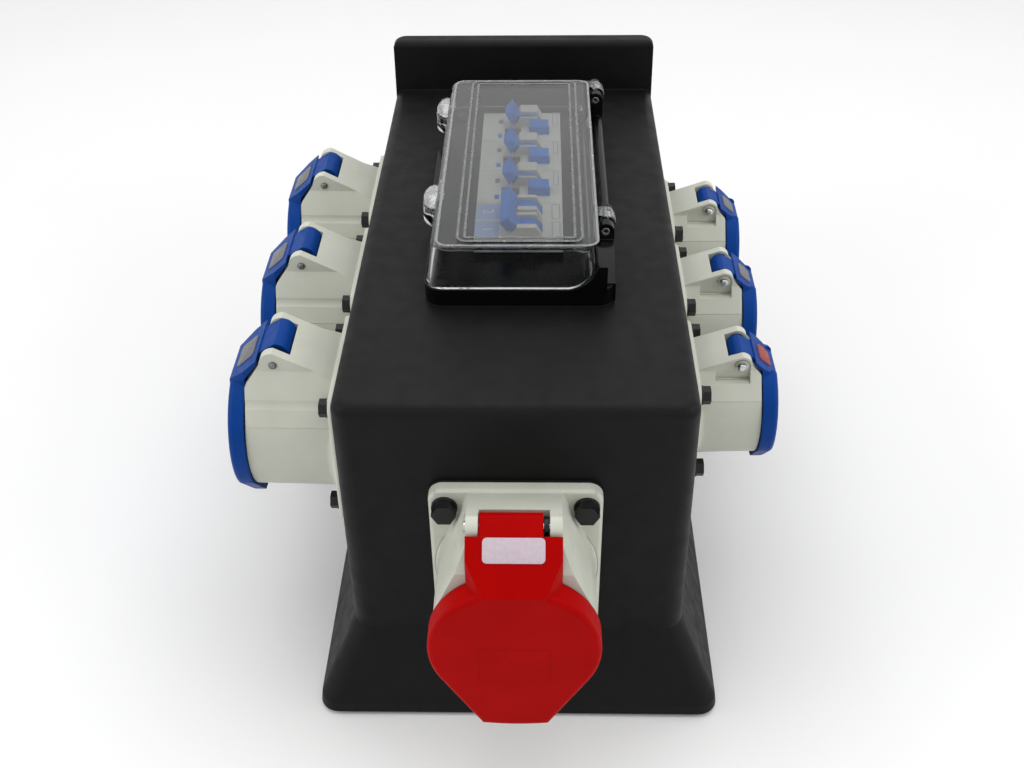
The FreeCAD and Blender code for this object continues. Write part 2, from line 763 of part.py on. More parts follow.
def hinge_block(body, family):
    """The block behind the lid's hinge: a ramp from the flange up to two ears, on cheeks that spread."""
    out = f"{family}_pivot_out"
    up = pivot_up(family)
    ear = f"{family}_ear_radius"
    half = f"{family}_ear_half"
    front = f"-{family}_rim + cheek_gap"
    end_x, end_z = cheek_end(family)
    drawing = sketch(body, "YZ_Plane")
    outline(drawing, [
        (f"-{FLANGE_FRONT} + flange_thickness / 2", end_z),
        (f"-{FLANGE_FRONT} + flange_thickness / 2", ramp_foot(family)),
        (f"-{FLANGE_FRONT}", ramp_foot(family)),
        (f"-{out}", f"{up} + {ear}"),
        (f"-{out} - {ear}", up, ear, 1),
        (front, f"{family}_barrel_radius"),
        (front, end_z),
    ])
    pad(body, drawing, f"2 * {family}_barrel_radius", both_ways=True)
    sides = sketch(body, "XZ_Plane", f"{family}_rim")
    for sign in ("", "-"):
        outline(sides, [
            (f"{sign}{half}", f"{up} + 2 * {ear}"),
            (f"{sign}{half}", cheek_start(family)),
            (f"{sign}{end_x}", end_z),
            (f"{sign}(2 * {family}_barrel_radius)", end_z),
            (f"{sign}(2 * {family}_barrel_radius)", f"{up} + 2 * {ear}"),
        ])
    pocket(body, sides, f"{family}_rim - {FLANGE_FRONT}")
    seats = sketch(body, "XZ_Plane", f"{family}_rim")
    for x_text, z_text in bolt_spots(family):
        circle(seats, x_text, z_text, f"{family}_bolt_collar_radius + slot_gap")
    extrude(body, "PartDesign::Pocket", seats, f"{family}_rim - {FLANGE_FRONT}")


def slot_floor(family):
    return f"({pivot_up(family)} - {family}_ear_radius - slot_gap)"


def hinge_slot(body, family, front):
    """Room for the lid's knuckle, from a distance in front of the wall."""
    ear = f"{family}_ear_radius"
    drawing = sketch(body, "XZ_Plane", front)
    rectangle(
        drawing, f"-{family}_slot_half", f"{family}_slot_half", slot_floor(family),
        f"{pivot_up(family)} + 2 * {ear}"
    )
    pocket(body, drawing, f"{front} - {family}_pivot_out + {ear} + slot_gap")


def hinge_hole(body, family):
    hole = sketch(body, "YZ_Plane")
    circle(hole, f"-{family}_pivot_out", pivot_up(family), "pin_radius + pin_gap")
    pocket(body, hole, f"2 * {family}_ear_half + 2 * pin_radius", both_ways=True)


def hinge_relief(body, family):
    """A shallow relief round the pin's boss, on the side that the pin goes in from."""
    out = f"{family}_pivot_out"
    up = pivot_up(family)
    ear = f"{family}_ear_radius"
    back = f"{family}_relief_back"
    ramp = f"({up} + {ear} - {ramp_foot(family)}) / ({out} - {FLANGE_FRONT})"
    back_top = f"{ramp_foot(family)} + ({back} - {FLANGE_FRONT}) * {ramp} - relief_ramp_rim"
    low = f"{up} - {family}_relief_drop"
    drawing = sketch(body, "YZ_Plane", f"-{family}_ear_half + relief_depth")
    outline(drawing, [
        (f"-{back}", low),
        (f"-{back}", back_top),
        (f"-{out}", f"{up} + {ear} - relief_rim"),
        (f"-{out} - {ear} + relief_rim", up, f"{ear} - relief_rim", 1),
        (f"-{out} - {ear} + relief_rim", low),
    ])
    circle(drawing, f"-{out}", up, f"{family}_boss_radius")
    pocket(body, drawing, f"{family}_barrel_radius")


def socket_housing(family):
    """The flange with its hinge block, open for the barrel."""
    body = new_body(f"{family}_housing_form")
    flange(body, family)
    hinge_block(body, family)
    flange_holes(body, family)
    revolve(body, barrel_section(body, family, "barrel_gap"), "H_Axis", "PartDesign::Groove")
    hinge_slot(body, family, f"{family}_rim")
    hinge_hole(body, family)
    hinge_relief(body, family)
    return body


def socket_barrel(family):
    """The tube that takes the plug. A hinge that sits low has its slot in the barrel too."""
    body = new_body(f"{family}_barrel_form")
    revolve(body, barrel_section(body, family), "H_Axis")
    bore = sketch(body, "XZ_Plane", f"{family}_rim")
    circle(bore, "0", "0", bore_radius(family))
    pocket(body, bore, f"{family}_rim")
    if value(slot_floor(family)) < value(f"{family}_barrel_radius"):
        hinge_slot(body, family, f"({family}_pivot_out + {family}_ear_radius + slot_gap)")
    return body


def hood_back(family):
    return f"({family}_pivot_out + {family}_ear_radius + hood_gap)"


def hood_up(family):
    return f"({pivot_up(family)} + hood_rise)"


def neck_at_rim(family):
    """Height of the lid's neck where it passes the barrel's rim."""
    fall = f"({hood_up(family)} - {crease_up(family)})"
    part = f"({family}_rim + fit_gap - {hood_back(family)}) / ({face_out(family)} - {hood_back(family)})"
    return f"({hood_up(family)} - {fall} * {part})"


def lid_outline(body, family, depth, inset):
    """The round lid with its lifting tab, at a distance from the wall, drawn in by the inset."""
    drawing = sketch(body, "XZ_Plane", depth)
    radius = f"({lid_radius(family)} - {inset})"
    wide = f"{radius} * cos(30 deg)"
    high = f"-{radius} * sin(30 deg)"
    tab = f"({family}_tab_half - {inset} / 2)"
    low = f"-{tab_down(family)} + {inset}"
    outline(drawing, [
        (wide, high),
        ("0", radius, radius, 1),
        (f"-{wide}", high, radius, 1),
        (f"-{tab}", low),
        (tab, low, f"{family}_tab_bow", 1),
    ])
    return drawing


def lid_cap(body, family):
    """The cap, whose front edge is rounded, without what stands above the neck's slope."""
    forms = [lid_outline(body, family, f"{family}_rim + fit_gap", "0")]
    for inset, drop in rounding_steps("lid_rounding"):
        forms.append(lid_outline(body, family, f"{face_out(family)} - {drop}", inset))
    loft(body, "PartDesign::AdditiveLoft", forms)
    above = sketch(body, "YZ_Plane")
    slope = f"({hood_up(family)} - {crease_up(family)}) / ({face_out(family)} - {hood_back(family)})"
    outline(above, [
        (f"-{family}_rim - fit_gap", neck_at_rim(family)),
        (f"-{family}_rim - fit_gap", f"2 * {hood_up(family)}"),
        (f"-{face_out(family)} - fit_gap", f"2 * {hood_up(family)}"),
        (f"-{face_out(family)} - fit_gap", f"{crease_up(family)} - fit_gap * {slope}"),
    ])
    pocket(body, above, f"2 * {family}_crease_half", both_ways=True)


def lid_neck(body, family):
    """The neck from the cap up to the hinge: a sloping face that narrows towards the cap."""
    half = f"{family}_ear_half"
    low = f"{family}_neck_root"
    inner = sketch(body, "XZ_Plane", f"{family}_rim + fit_gap")
    rectangle(inner, f"-{half}", half, low, neck_at_rim(family))
    front = sketch(body, "XZ_Plane", face_out(family))
    outline(front, [
        (f"-{half}", low),
        (half, low),
        (f"{family}_crease_half", crease_up(family)),
        (f"-{family}_crease_half", crease_up(family)),
    ])
    loft(body, "PartDesign::AdditiveLoft", [inner, front])
    hood = sketch(body, "YZ_Plane")
    under = f"{family}_barrel_radius + hood_gap"
    outline(hood, [
        (f"-{hood_back(family)}", pivot_up(family)),
        (f"-{family}_rim - fit_gap", under),
        (f"-{family}_rim - fit_gap", neck_at_rim(family)),
        (f"-{hood_back(family)}", hood_up(family)),
    ])
    pad(body, hood, f"2 * {half}", both_ways=True)


def lid_knuckle(body, family):
    out = f"{family}_pivot_out"
    up = pivot_up(family)
    radius = f"{family}_ear_radius"
    start = f"-{family}_slot_half + fit_gap"
    length = f"2 * {family}_slot_half - fit_gap - spring_room"
    web = sketch(body, "YZ_Plane", start)
    outline(web, [
        (f"-{hood_back(family)} - hood_gap", f"{hood_up(family)} - hood_gap"),
        (f"-{hood_back(family)} - hood_gap", f"max({up} - {radius}; {family}_barrel_radius + hood_gap)"),
        (f"-{out}", f"{up} - {radius}"),
        (f"-{out} + {radius}", up, radius, 1),
        (f"-{out}", f"{up} + {radius}", radius, 1),
    ])
    pad(body, web, length)
    hole = sketch(body, "YZ_Plane", start)
    circle(hole, f"-{out}", up, "pin_radius + pin_gap")
    pocket(body, hole, length, backwards=True)


def socket_lid(family):
    body = new_body(f"{family}_lid_form")
    lid_cap(body, family)
    lid_neck(body, family)
    lid_knuckle(body, family)
    skirt = sketch(body, "XZ_Plane", f"{family}_rim + fit_gap")
    circle(skirt, "0", "0", f"{lid_radius(family)} - lid_wall")
    pocket(body, skirt, "seal_depth", backwards=True)
    hollow = sketch(body, "XZ_Plane", f"{family}_rim + fit_gap")
    circle(hollow, "0", "0", f"{bore_radius(family)} - seal_lap")
    pocket(body, hollow, f"{face_out(family)} - {family}_rim - fit_gap - lid_face", backwards=True)
    return body


def lid_seal(family):
    body = new_body(f"{family}_seal_form")
    drawing = sketch(body, "XZ_Plane", f"{family}_rim + fit_gap")
    circle(drawing, "0", "0", f"{lid_radius(family)} - lid_wall - carrier_gap")
    circle(drawing, "0", "0", f"{bore_radius(family)} - seal_lap")
    pad(body, drawing, "seal_depth")
    return body


def contact_spots(family):
    """Contacts on their circle, the lowest one for earth."""
    count = 5 if family == "main" else 3
    spots = []
    for index in range(count):
        angle = 270 + 360 * index / count
        spots.append((
            f"{family}_contact_circle * cos({angle} deg)",
            f"{family}_contact_circle * sin({angle} deg)",
        ))
    return spots


def contact_carrier(family):
    body = new_body(f"{family}_carrier_form")
    drawing = sketch(body, "YZ_Plane")
    core = f"{bore_radius(family)} - ring_gap"
    front = f"-{family}_rim + carrier_recess"
    outline(drawing, [("carrier_rear", "0"), ("carrier_rear", core), (front, core), (front, "0")])
    revolve(body, drawing, "H_Axis")
    holes = sketch(body, "XZ_Plane", f"{family}_rim - carrier_recess")
    for x_text, z_text in contact_spots(family):
        circle(holes, x_text, z_text, f"{family}_contact_radius")
    pocket(body, holes, f"{family}_rim - carrier_recess + carrier_rear")
    return body


def carrier_ring(family):
    """The ring that holds the carrier in the barrel."""
    body = new_body(f"{family}_ring_form")
    drawing = sketch(body, "XZ_Plane", "gasket_thickness")
    circle(drawing, "0", "0", f"{bore_radius(family)} - carrier_gap")
    circle(drawing, "0", "0", f"{bore_radius(family)} - ring_gap + carrier_gap")
    pad(body, drawing, "carrier_ring")
    return body


def contact_sleeves(family):
    """Brass tubes in the carrier, open towards the front."""
    body = new_body(f"{family}_sleeve_form")
    length = f"{family}_rim - carrier_recess - sleeve_recess + carrier_rear + sleeve_tail"
    drawing = sketch(body, "XZ_Plane", f"{family}_rim - carrier_recess - sleeve_recess")
    outer = f"{family}_contact_radius"
    circle(drawing, "0", "0", outer)
    pad(body, drawing, length)
    body.Tip.Reversed = True
    hole = sketch(body, "XZ_Plane", f"{family}_rim - carrier_recess - sleeve_recess")
    circle(hole, "0", "0", f"{outer} - sleeve_wall")
    pocket(body, hole, f"{length} - carrier_rear")
    copies = []
    for x_text, z_text in contact_spots(family):
        copies.append(placed(body, at(value(x_text), 0, value(z_text)), f"{family}_sleeve"))
    return gathered(copies, f"{family}_sleeves")


def flange_gasket(family):
    body = new_body(f"{family}_gasket_form")
    drawing = sketch(body, "XZ_Plane")
    rounded_rectangle(
        drawing, "0", "0", flange_width(family), flange_height(family), "flange_corner"
    )
    circle(drawing, "0", "0", bore_radius(family))
    draw_bolt_holes(drawing, family)
    pad(body, drawing, "gasket_thickness")
    return body


def bolt_form(family):
    """One flange bolt: its collar lies on y = 0 and its hexagon faces -Y."""
    body = new_body(f"{family}_bolt_form")
    collar = sketch(body, "XZ_Plane")
    circle(collar, "0", "0", f"{family}_bolt_collar_radius")
    pad(body, collar, f"{family}_bolt_collar_height")
    head = sketch(body, "XZ_Plane", f"{family}_bolt_collar_height")
    corner = f"{family}_bolt_flat / 2 / cos(30 deg)"
    outline(head, [
        (f"{corner} * cos({60 * index} deg)", f"{corner} * sin({60 * index} deg)") for index in range(6)
    ])
    pad(body, head, f"{family}_bolt_head_height")
    shank = sketch(body, "XZ_Plane")
    circle(shank, "0", "0", f"{family}_bolt_radius")
    pad(body, shank, f"{FLANGE_FRONT} + wall + {family}_bolt_radius")
    body.Tip.Reversed = True
    return body


def bolt_set(family):
    bolt = bolt_form(family)
    front = -value(FLANGE_FRONT)
    copies = []
    for x_text, z_text in bolt_spots(family):
        copies.append(placed(bolt, at(value(x_text), front, value(z_text)), f"{family}_bolt"))
    return gathered(copies, f"{family}_bolts")


def lid_pin(family):
    """The pin goes in from -X, where its head lies on the boss."""
    body = new_body(f"{family}_pin_form")
    shank = sketch(body, "YZ_Plane", f"-{family}_ear_half")
    circle(shank, f"-{family}_pivot_out", pivot_up(family), "pin_radius")
    pad(body, shank, f"2 * {family}_ear_half")
    head = sketch(body, "YZ_Plane", f"-{family}_ear_half - pin_head_height")
    circle(head, f"-{family}_pivot_out", pivot_up(family), "pin_head_radius")
    pad(body, head, "pin_head_height")
    return body


def lid_spring(family):
    """The closing spring's coil on the pin, beside the knuckle."""
    body = new_body(f"{family}_spring_form")
    drawing = sketch(body, "YZ_Plane", f"{family}_slot_half - spring_room + fit_gap")
    circle(drawing, f"-{family}_pivot_out", pivot_up(family), f"{family}_spring_radius")
    circle(drawing, f"-{family}_pivot_out", pivot_up(family), "pin_radius + fit_gap")
    pad(body, drawing, "spring_room - 2 * fit_gap")
    return body


def sockets():
    forms = {}
    for family in FAMILIES:
        forms[family] = {
            "housing": socket_housing(family),
            "barrel": socket_barrel(family),
            "lid": socket_lid(family),
            "seal": lid_seal(family),
            "carrier": contact_carrier(family),
            "ring": carrier_ring(family),
            "sleeves": contact_sleeves(family),
            "gasket": flange_gasket(family),
            "bolts": bolt_set(family),
            "pin": lid_pin(family),
            "spring": lid_spring(family),
        }
    shared = {kind: [] for kind in ("ring", "sleeves", "gasket", "bolts", "pin", "spring")}
    barrels = {family: [] for family in FAMILIES}
    carriers = {family: [] for family in FAMILIES}
    for name, family, place in socket_places():
        for kind in ("housing", "lid", "seal"):
            copy = placed(forms[family][kind], place, f"{name}_{kind}")
            name_piece(copy, f"{name}_{kind}")
        barrels[family].append(placed(forms[family]["barrel"], place, f"{name}_barrel"))
        carriers[family].append(placed(forms[family]["carrier"], place, f"{name}_carrier"))
        for kind, copies in shared.items():
            copies.append(placed(forms[family][kind], place, f"{name}_{kind}"))
    place = inlet_place()
    shared["gasket"].append(placed(forms["main"]["gasket"], place, "inlet_gasket"))
    shared["bolts"].append(placed(forms["main"]["bolts"], place, "inlet_bolts"))
    group(barrels["big"], "left_socket_barrels")
    group(barrels["small"], "right_socket_barrels")
    group(barrels["main"], "front_socket_barrel")
    group(carriers["big"], "left_contact_carriers")
    group(carriers["small"], "right_contact_carriers")
    group(carriers["main"], "front_contact_carrier")
    group(shared["ring"], "carrier_rings")
    group(shared["sleeves"], "contact_sleeves")
    group(shared["gasket"], "flange_gaskets")
    group(shared["bolts"], "flange_bolts")
    group(shared["pin"], "lid_pins")
    group(shared["spring"], "lid_springs")


# Inlet
def inlet():
    place = inlet_place()
    body = new_body("inlet_housing_form")
    flange(body, "main")
    flange_holes(body, "main")
    inside = "shroud_radius - shroud_wall"
    bore = sketch(body, "XZ_Plane", FLANGE_FRONT)
    circle(bore, "0", "0", "shroud_radius + fit_gap")
    pocket(body, bore, "flange_thickness")
    name_piece(placed(body, place, "inlet_flange"), "inlet_flange")

    shroud = new_body("inlet_shroud_form")
    drawing = sketch(shroud, "YZ_Plane")
    outline(drawing, [
        ("0", "0"),
        ("0", "shroud_radius"),
        (f"-{FLANGE_FRONT}", "shroud_radius"),
        (f"-{FLANGE_FRONT}", "shroud_radius + shroud_collar_lap"),
        (f"-{FLANGE_FRONT} - shroud_collar", "shroud_radius + shroud_collar_lap"),
        (f"-{FLANGE_FRONT} - shroud_collar", "shroud_radius"),
        ("-shroud_length", "shroud_radius"),
        ("-shroud_length", inside),
        ("-inlet_floor", inside),
        ("-inlet_floor", "0"),
    ])
    revolve(shroud, drawing, "H_Axis")
    holes = sketch(shroud, "XZ_Plane", "inlet_floor")
    for x_text, z_text in contact_spots("main"):
        circle(holes, x_text, z_text, "inlet_pin_radius + pin_gap")
    pocket(shroud, holes, "inlet_floor")
    name_piece(placed(shroud, place, "inlet_shroud"), "inlet_shroud")

    pin = new_body("inlet_pin_form")
    shape = sketch(pin, "YZ_Plane")
    tip = "-inlet_floor - inlet_pin_length"
    outline(shape, [
        ("inlet_pin_tail", "0"),
        ("inlet_pin_tail", "inlet_pin_radius"),
        (f"{tip} + inlet_pin_radius / 2", "inlet_pin_radius"),
        (tip, "inlet_pin_radius / 2"),
        (tip, "0"),
    ])
    revolve(pin, shape, "H_Axis")
    pins = [
        placed(pin, place.multiply(at(value(x_text), 0, value(z_text))), "inlet_pin")
        for x_text, z_text in contact_spots("main")
    ]
    group(pins, "inlet_pins")


def wall_tools(family, place, radius):
    """Cutters for one socket's opening in the wall and for its bolts."""
    back = FreeCAD.Placement(Vector(0, 0, 0), FreeCAD.Rotation(Vector(1, 0, 0), -90))
    reach = "2 * wall + body_draft"
    start = -value("wall")
    tools = [cutter(radius, reach, place.multiply(at(0, start, 0)).multiply(back))]
    for x_text, z_text in bolt_spots(family):
        spot = at(value(x_text), start, value(z_text))
        tools.append(cutter(f"{family}_bolt_radius + bolt_gap", reach, place.multiply(spot).multiply(back)))
    return tools


def enclosure():
    """The shell with its openings: sockets, inlet, bolts, window and screws."""
    shell = enclosure_form()
    for name, family, place in socket_places():
        tools = wall_tools(family, place, f"{bore_radius(family)} - ring_gap + fit_gap")
        shell = cut(shell, tools, f"enclosure_with_{name}")
    tools = wall_tools("main", inlet_place(), "shroud_radius - shroud_wall")
    for x, y in base_screw_places():
        tools.append(cutter("screw_radius + pin_gap", "screw_length + pin_gap", at(x, y, 0)))
    for x, y in window_screw_places():
        tools.append(cutter("screw_radius + pin_gap", "2 * wall", at(x, y, value("body_height - wall - 1"))))
    tools.append(window_hole())
    name_piece(cut(shell, tools, "enclosure"), "enclosure")


# Window over the breakers
FRAME_FOOT = "(body_height + window_gasket_thickness)"
FRAME_TOP = f"({FRAME_FOOT} + deck_height + rim_height)"
HINGE_X = "(window_middle_x + window_width / 2 - hinge_inset)"
HINGE_Z = f"({FRAME_FOOT} + hinge_rise)"
ROW_HALF = "(row_poles * module_width / 2)"
NOSE_TOP = "(body_height + nose_rise)"


def row_cutout(drawing, gap):
    rectangle(
        drawing, f"-nose_half - {gap}", f"nose_half + {gap}",
        f"row_middle - {ROW_HALF} - {gap}", f"row_middle + {ROW_HALF} + {gap}",
    )


def window_hole():
    """The cut-out in the top for the breakers' noses and their wiring."""
    body = new_body("window_hole_form")
    drawing = sketch(body, "XY_Plane", "body_height - 2 * wall")
    row_cutout(drawing, "wall")
    pad(body, drawing, "3 * wall")
    return body


def window_screw_places():
    across = value("window_width / 2 - rim_wall - window_screw_inset")
    along = value("window_length / 2 - rim_wall - window_screw_inset")
    x = value("window_middle_x")
    y = value("window_middle_y")
    lean = value("hinge_ear_radius")
    return [(x + h * across - (lean if h > 0 else 0), y + v * along) for h in (-1, 1) for v in (-1, 1)]


def window_gasket():
    body = new_body("window_gasket_form")
    drawing = sketch(body, "XY_Plane", "body_height")
    rounded_rectangle(
        drawing, "window_middle_x", "window_middle_y", "window_width", "window_length", "window_corner"
    )
    row_cutout(drawing, "wall")
    pad(body, drawing, "window_gasket_thickness")
    holes = sketch(body, "XY_Plane", "body_height + window_gasket_thickness")
    for x, y in window_screw_places():
        circle(holes, str(x), str(y), "screw_radius + pin_gap")
    pocket(body, holes, "window_gasket_thickness")
    name_piece(body, "window_gasket")


def hinge_profile(drawing, radius, low):
    """An upright strap with a round top on the cover's hinge axis."""
    outline(drawing, [
        (f"{HINGE_X} - {radius}", low),
        (f"{HINGE_X} + {radius}", low),
        (f"{HINGE_X} + {radius}", HINGE_Z),
        (HINGE_X, f"{HINGE_Z} + {radius}", radius, 1),
        (f"{HINGE_X} - {radius}", HINGE_Z, radius, 1),
    ])


def upright(body, front, depth, radius, low):
    """A hinge strap whose front face lies at front and which is depth thick."""
    drawing = sketch(body, "XZ_Plane", f"-({front}) - ({depth})")
    hinge_profile(drawing, radius, low)
    pad(body, drawing, depth)


def window_frame():
    body = new_body("window_frame_form")
    base = sketch(body, "XY_Plane", FRAME_FOOT)
    rounded_rectangle(
        base, "window_middle_x", "window_middle_y", "window_width", "window_length", "window_corner"
    )
    pad(body, base, "deck_height + rim_height")
    tray = sketch(body, "XY_Plane", FRAME_TOP)
    rounded_rectangle(
        tray, "window_middle_x", "window_middle_y", "window_width - 2 * rim_wall",
        "window_length - 2 * rim_wall", "window_corner - rim_wall",
    )
    pocket(body, tray, "rim_height")
    front = "window_middle_y - window_length / 2"
    for start in ("hinge_near", "hinge_far"):
        upright(body, start, "hinge_ear", "hinge_ear_radius", FRAME_FOOT)
        cap = f"{start} + hinge_ear + hinge_lug + 2 * hinge_gap"
        upright(body, cap, "hinge_cap", "hinge_ear_radius", FRAME_FOOT)
    ramp = sketch(body, "YZ_Plane", f"{HINGE_X} - hinge_ear_radius")
    outline(ramp, [
        ("hinge_near", FRAME_FOOT),
        ("hinge_near", f"{HINGE_Z} - hinge_ear_radius"),
        (f"{front} + slope_start", f"{FRAME_TOP} + slope_rise", "slope_radius", 1),
        (f"{front} + slope_start", FRAME_FOOT),
    ])
    pad(body, ramp, "2 * hinge_ear_radius")
    ear_end = "hinge_near + hinge_ear + hinge_lug + 2 * hinge_gap"
    rib = sketch(body, "XZ_Plane", f"-({ear_end})")
    rib_crown = f"{FRAME_FOOT} + hinge_rib_height"
    outline(rib, [
        (f"{HINGE_X} - hinge_ear_radius / 2", FRAME_FOOT),
        (f"{HINGE_X} + hinge_ear_radius", FRAME_FOOT),
        (f"{HINGE_X} + hinge_ear_radius", f"{rib_crown} - hinge_rib_radius"),
        (f"{HINGE_X} + hinge_rib_shift", rib_crown, "hinge_rib_radius", 1),
        (f"{HINGE_X} - hinge_ear_radius / 2", f"{rib_crown} - hinge_rib_radius", "hinge_rib_radius", 1),
    ])
    pad(body, rib, f"hinge_far - ({ear_end})")
    body.Tip.Reversed = True
    shoulder = sketch(body, "XZ_Plane", f"-({front}) - rim_wall")
    sweep_outline(shoulder, "0")
    pad(body, shoulder, "rim_wall")
    tab = sketch(body, "XY_Plane", f"{FRAME_TOP} - rib_tab_height")
    left = "window_middle_x - window_width / 2"
    middle = "(latch_near + latch_far) / 2"
    rectangle(
        tab, f"{left} - rib_tab_reach", f"{left} + rim_wall",
        f"{middle} - rib_tab_length / 2", f"{middle} + rib_tab_length / 2",
    )
    pad(body, tab, "rib_tab_height")
    hole = sketch(body, "XZ_Plane", "-hinge_near")
    circle(hole, HINGE_X, HINGE_Z, "hinge_pin_radius + pin_gap")
    pocket(body, hole, "hinge_far - hinge_near + hinge_ear + hinge_lug + hinge_cap + 2 * hinge_gap")
    row = sketch(body, "XY_Plane", FRAME_TOP)
    row_cutout(row, "nose_gap")
    pocket(body, row, "deck_height + rim_height")
    screws = sketch(body, "XY_Plane", FRAME_TOP)
    for x, y in window_screw_places():
        circle(screws, str(x), str(y), "screw_radius + pin_gap")
    pocket(body, screws, "deck_height + rim_height")
    name_piece(body, "window_frame")


def sweep_outline(drawing, gap):
    """The raised shoulder at the front right, which the cover's lower edge sweeps round."""
    right = f"{HINGE_X} - hinge_ear_radius"
    outline(drawing, [
        (f"sweep_start - {gap}", f"{FRAME_TOP} - rim_height / 2"),
        (f"{right} + hinge_ear_radius", f"{FRAME_TOP} - rim_height / 2"),
        (f"{right} + hinge_ear_radius", f"{FRAME_TOP} + sweep_rise + {gap}"),
        (right, f"{FRAME_TOP} + sweep_rise + {gap}"),
        (f"sweep_start - {gap}", f"{FRAME_TOP} + {gap}", "sweep_radius", -1),
    ])


def window_screws():
    body = new_body("window_screw_form")
    drawing = sketch(body, "XZ_Plane")
    outline(drawing, [
        ("0", "-screw_length"),
        ("screw_radius", "-screw_length"),
        ("screw_radius", "0"),
        ("screw_head_radius", "0"),
        ("screw_head_top", "screw_head_height"),
        ("0", "screw_head_height"),
    ])
    revolve(body, drawing, "V_Axis")
    deck = value(f"{FRAME_FOOT} + deck_height")
    group([placed(body, at(x, y, deck), "window_screw") for x, y in window_screw_places()], "window_screws")


COVER_LEFT = "(window_middle_x - window_width / 2 + fit_gap)"
COVER_RIGHT = f"({HINGE_X} - hinge_ear_radius - cover_hinge_gap)"


def cover_section(body, height, inset, right_inset, radius):
    """A level outline of the cover; the hinge side leans less than the other three."""
    drawing = sketch(body, "XY_Plane", height)
    left = f"({COVER_LEFT} + {inset})"
    right = f"({COVER_RIGHT} - {right_inset})"
    rounded_rectangle(
        drawing, f"({left} + {right}) / 2", "window_middle_y", f"{right} - {left}",
        f"window_length - 2 * fit_gap - 2 * ({inset})", radius,
    )
    return drawing


def window_cover():
    body = new_body("window_cover_form")
    low = f"({FRAME_TOP} + fit_gap)"
    high = f"({low} + cover_height)"
    slope = "cover_lean / cover_height"
    outer = [cover_section(body, low, "0", "0", "window_corner")]
    for inset, drop in rounding_steps("cover_rounding"):
        height = f"({high} - {drop})"
        outer.append(cover_section(
            body, height, f"cover_lean + {inset}", f"cover_hinge_lean + {inset}", f"window_corner - {inset}"
        ))
    loft(body, "PartDesign::AdditiveLoft", outer)
    panel = sketch(body, "XY_Plane", high)
    panel_left = f"{COVER_LEFT} + cover_lean + panel_left_inset"
    panel_right = f"{COVER_RIGHT} - cover_hinge_lean - panel_inset"
    rounded_rectangle(
        panel, f"({panel_left} + {panel_right}) / 2", "window_middle_y", f"{panel_right} - ({panel_left})",
        "window_length - 2 * fit_gap - 2 * (cover_lean + panel_inset)", "panel_corner",
    )
    pad(body, panel, "panel_rise")
    for start in ("hinge_near", "hinge_far"):
        lug = sketch(body, "XZ_Plane", f"-({start} + hinge_ear + hinge_gap + hinge_lug)")
        root = f"{COVER_RIGHT} - cover_lean / 2"
        outline(lug, [
            (root, f"{HINGE_Z} - hinge_lug_radius / 2"),
            (HINGE_X, f"{HINGE_Z} - hinge_lug_radius"),
            (f"{HINGE_X} + hinge_lug_radius", HINGE_Z, "hinge_lug_radius", 1),
            (HINGE_X, f"{HINGE_Z} + hinge_lug_radius", "hinge_lug_radius", 1),
            (root, f"{HINGE_Z} + hinge_lug_radius"),
        ])
        pad(body, lug, "hinge_lug")
    for middle in ("latch_near", "latch_far"):
        latch = sketch(body, "XY_Plane", f"{low} + latch_lift")
        edge = f"{COVER_LEFT} + 2 * latch_lift * {slope} + cover_wall / 2"
        outline(latch, [
            (edge, f"{middle} + latch_half"),
            (f"{COVER_LEFT} - latch_reach", f"{middle} + latch_flat", "latch_radius", 1),
            (f"{COVER_LEFT} - latch_reach", f"{middle} - latch_flat"),
            (edge, f"{middle} - latch_half", "latch_radius", 1),
        ])
        pad(body, latch, "latch_height")
    loft(body, "PartDesign::SubtractiveLoft", [
        cover_section(body, low, "cover_wall", "cover_wall", "window_corner - cover_wall"),
        cover_section(
            body, f"{high} - cover_wall", "cover_lean + cover_wall", "cover_hinge_lean + cover_wall",
            "window_corner - cover_wall",
        ),
    ])
    shoulder = sketch(body, "XZ_Plane", "-(window_middle_y - window_length / 2) + fit_gap")
    sweep_outline(shoulder, "sweep_gap")
    pocket(body, shoulder, "rim_wall + 2 * fit_gap")
    hole = sketch(body, "XZ_Plane", "-hinge_near")
    circle(hole, HINGE_X, HINGE_Z, "hinge_pin_radius + pin_gap")
    pocket(body, hole, "hinge_far - hinge_near + hinge_ear + hinge_lug + hinge_cap + 2 * hinge_gap")
    name_piece(body, "window_cover")


def window_hinge_pins():
    pins = []
    for start in ("hinge_near", "hinge_far"):
        body = new_body("window_pin_form")
        length = "hinge_ear + hinge_lug + hinge_cap + 2 * hinge_gap"
        drawing = sketch(body, "XZ_Plane", f"-({start}) - ({length})")
        circle(drawing, HINGE_X, HINGE_Z, "hinge_pin_radius")
        circle(drawing, HINGE_X, HINGE_Z, "hinge_pin_bore")
        pad(body, drawing, length)
        pins.append(body)
    group(pins, "window_hinge_pins")


# Breakers: each is drawn with its nose's middle at the origin and then set on the row.
# The near sides of a two-pole breaker's poles:
POLES = ("-module_width", "0")


def case_profile(drawing):
    """A breaker's stepped outline, alike on both sides, with a seat for the rail at the back."""
    seat = "rail_half + rail_seat_gap"
    right = [
        ("nose_half", "0"),
        ("nose_half", "-nose_depth"),
        ("case_half", "-nose_depth"),
        ("case_half", "-case_depth + case_chamfer"),
        ("case_half - case_chamfer", "-case_depth"),
        (seat, "-case_depth"),
        (seat, "-case_depth + rail_seat"),
    ]
    left = [(f"-({x_text})", z_text) for x_text, z_text in right]
    outline(drawing, left + right[::-1])


def drum_circle(body, spot, radius, kind, width):
    """A round pad or pocket on the levers' axis, width long, round the spot along the row."""
    drawing = sketch(body, "XZ_Plane", f"-({spot})")
    circle(drawing, "drum_x", "-drum_below", radius)
    kind(body, drawing, width, both_ways=True)


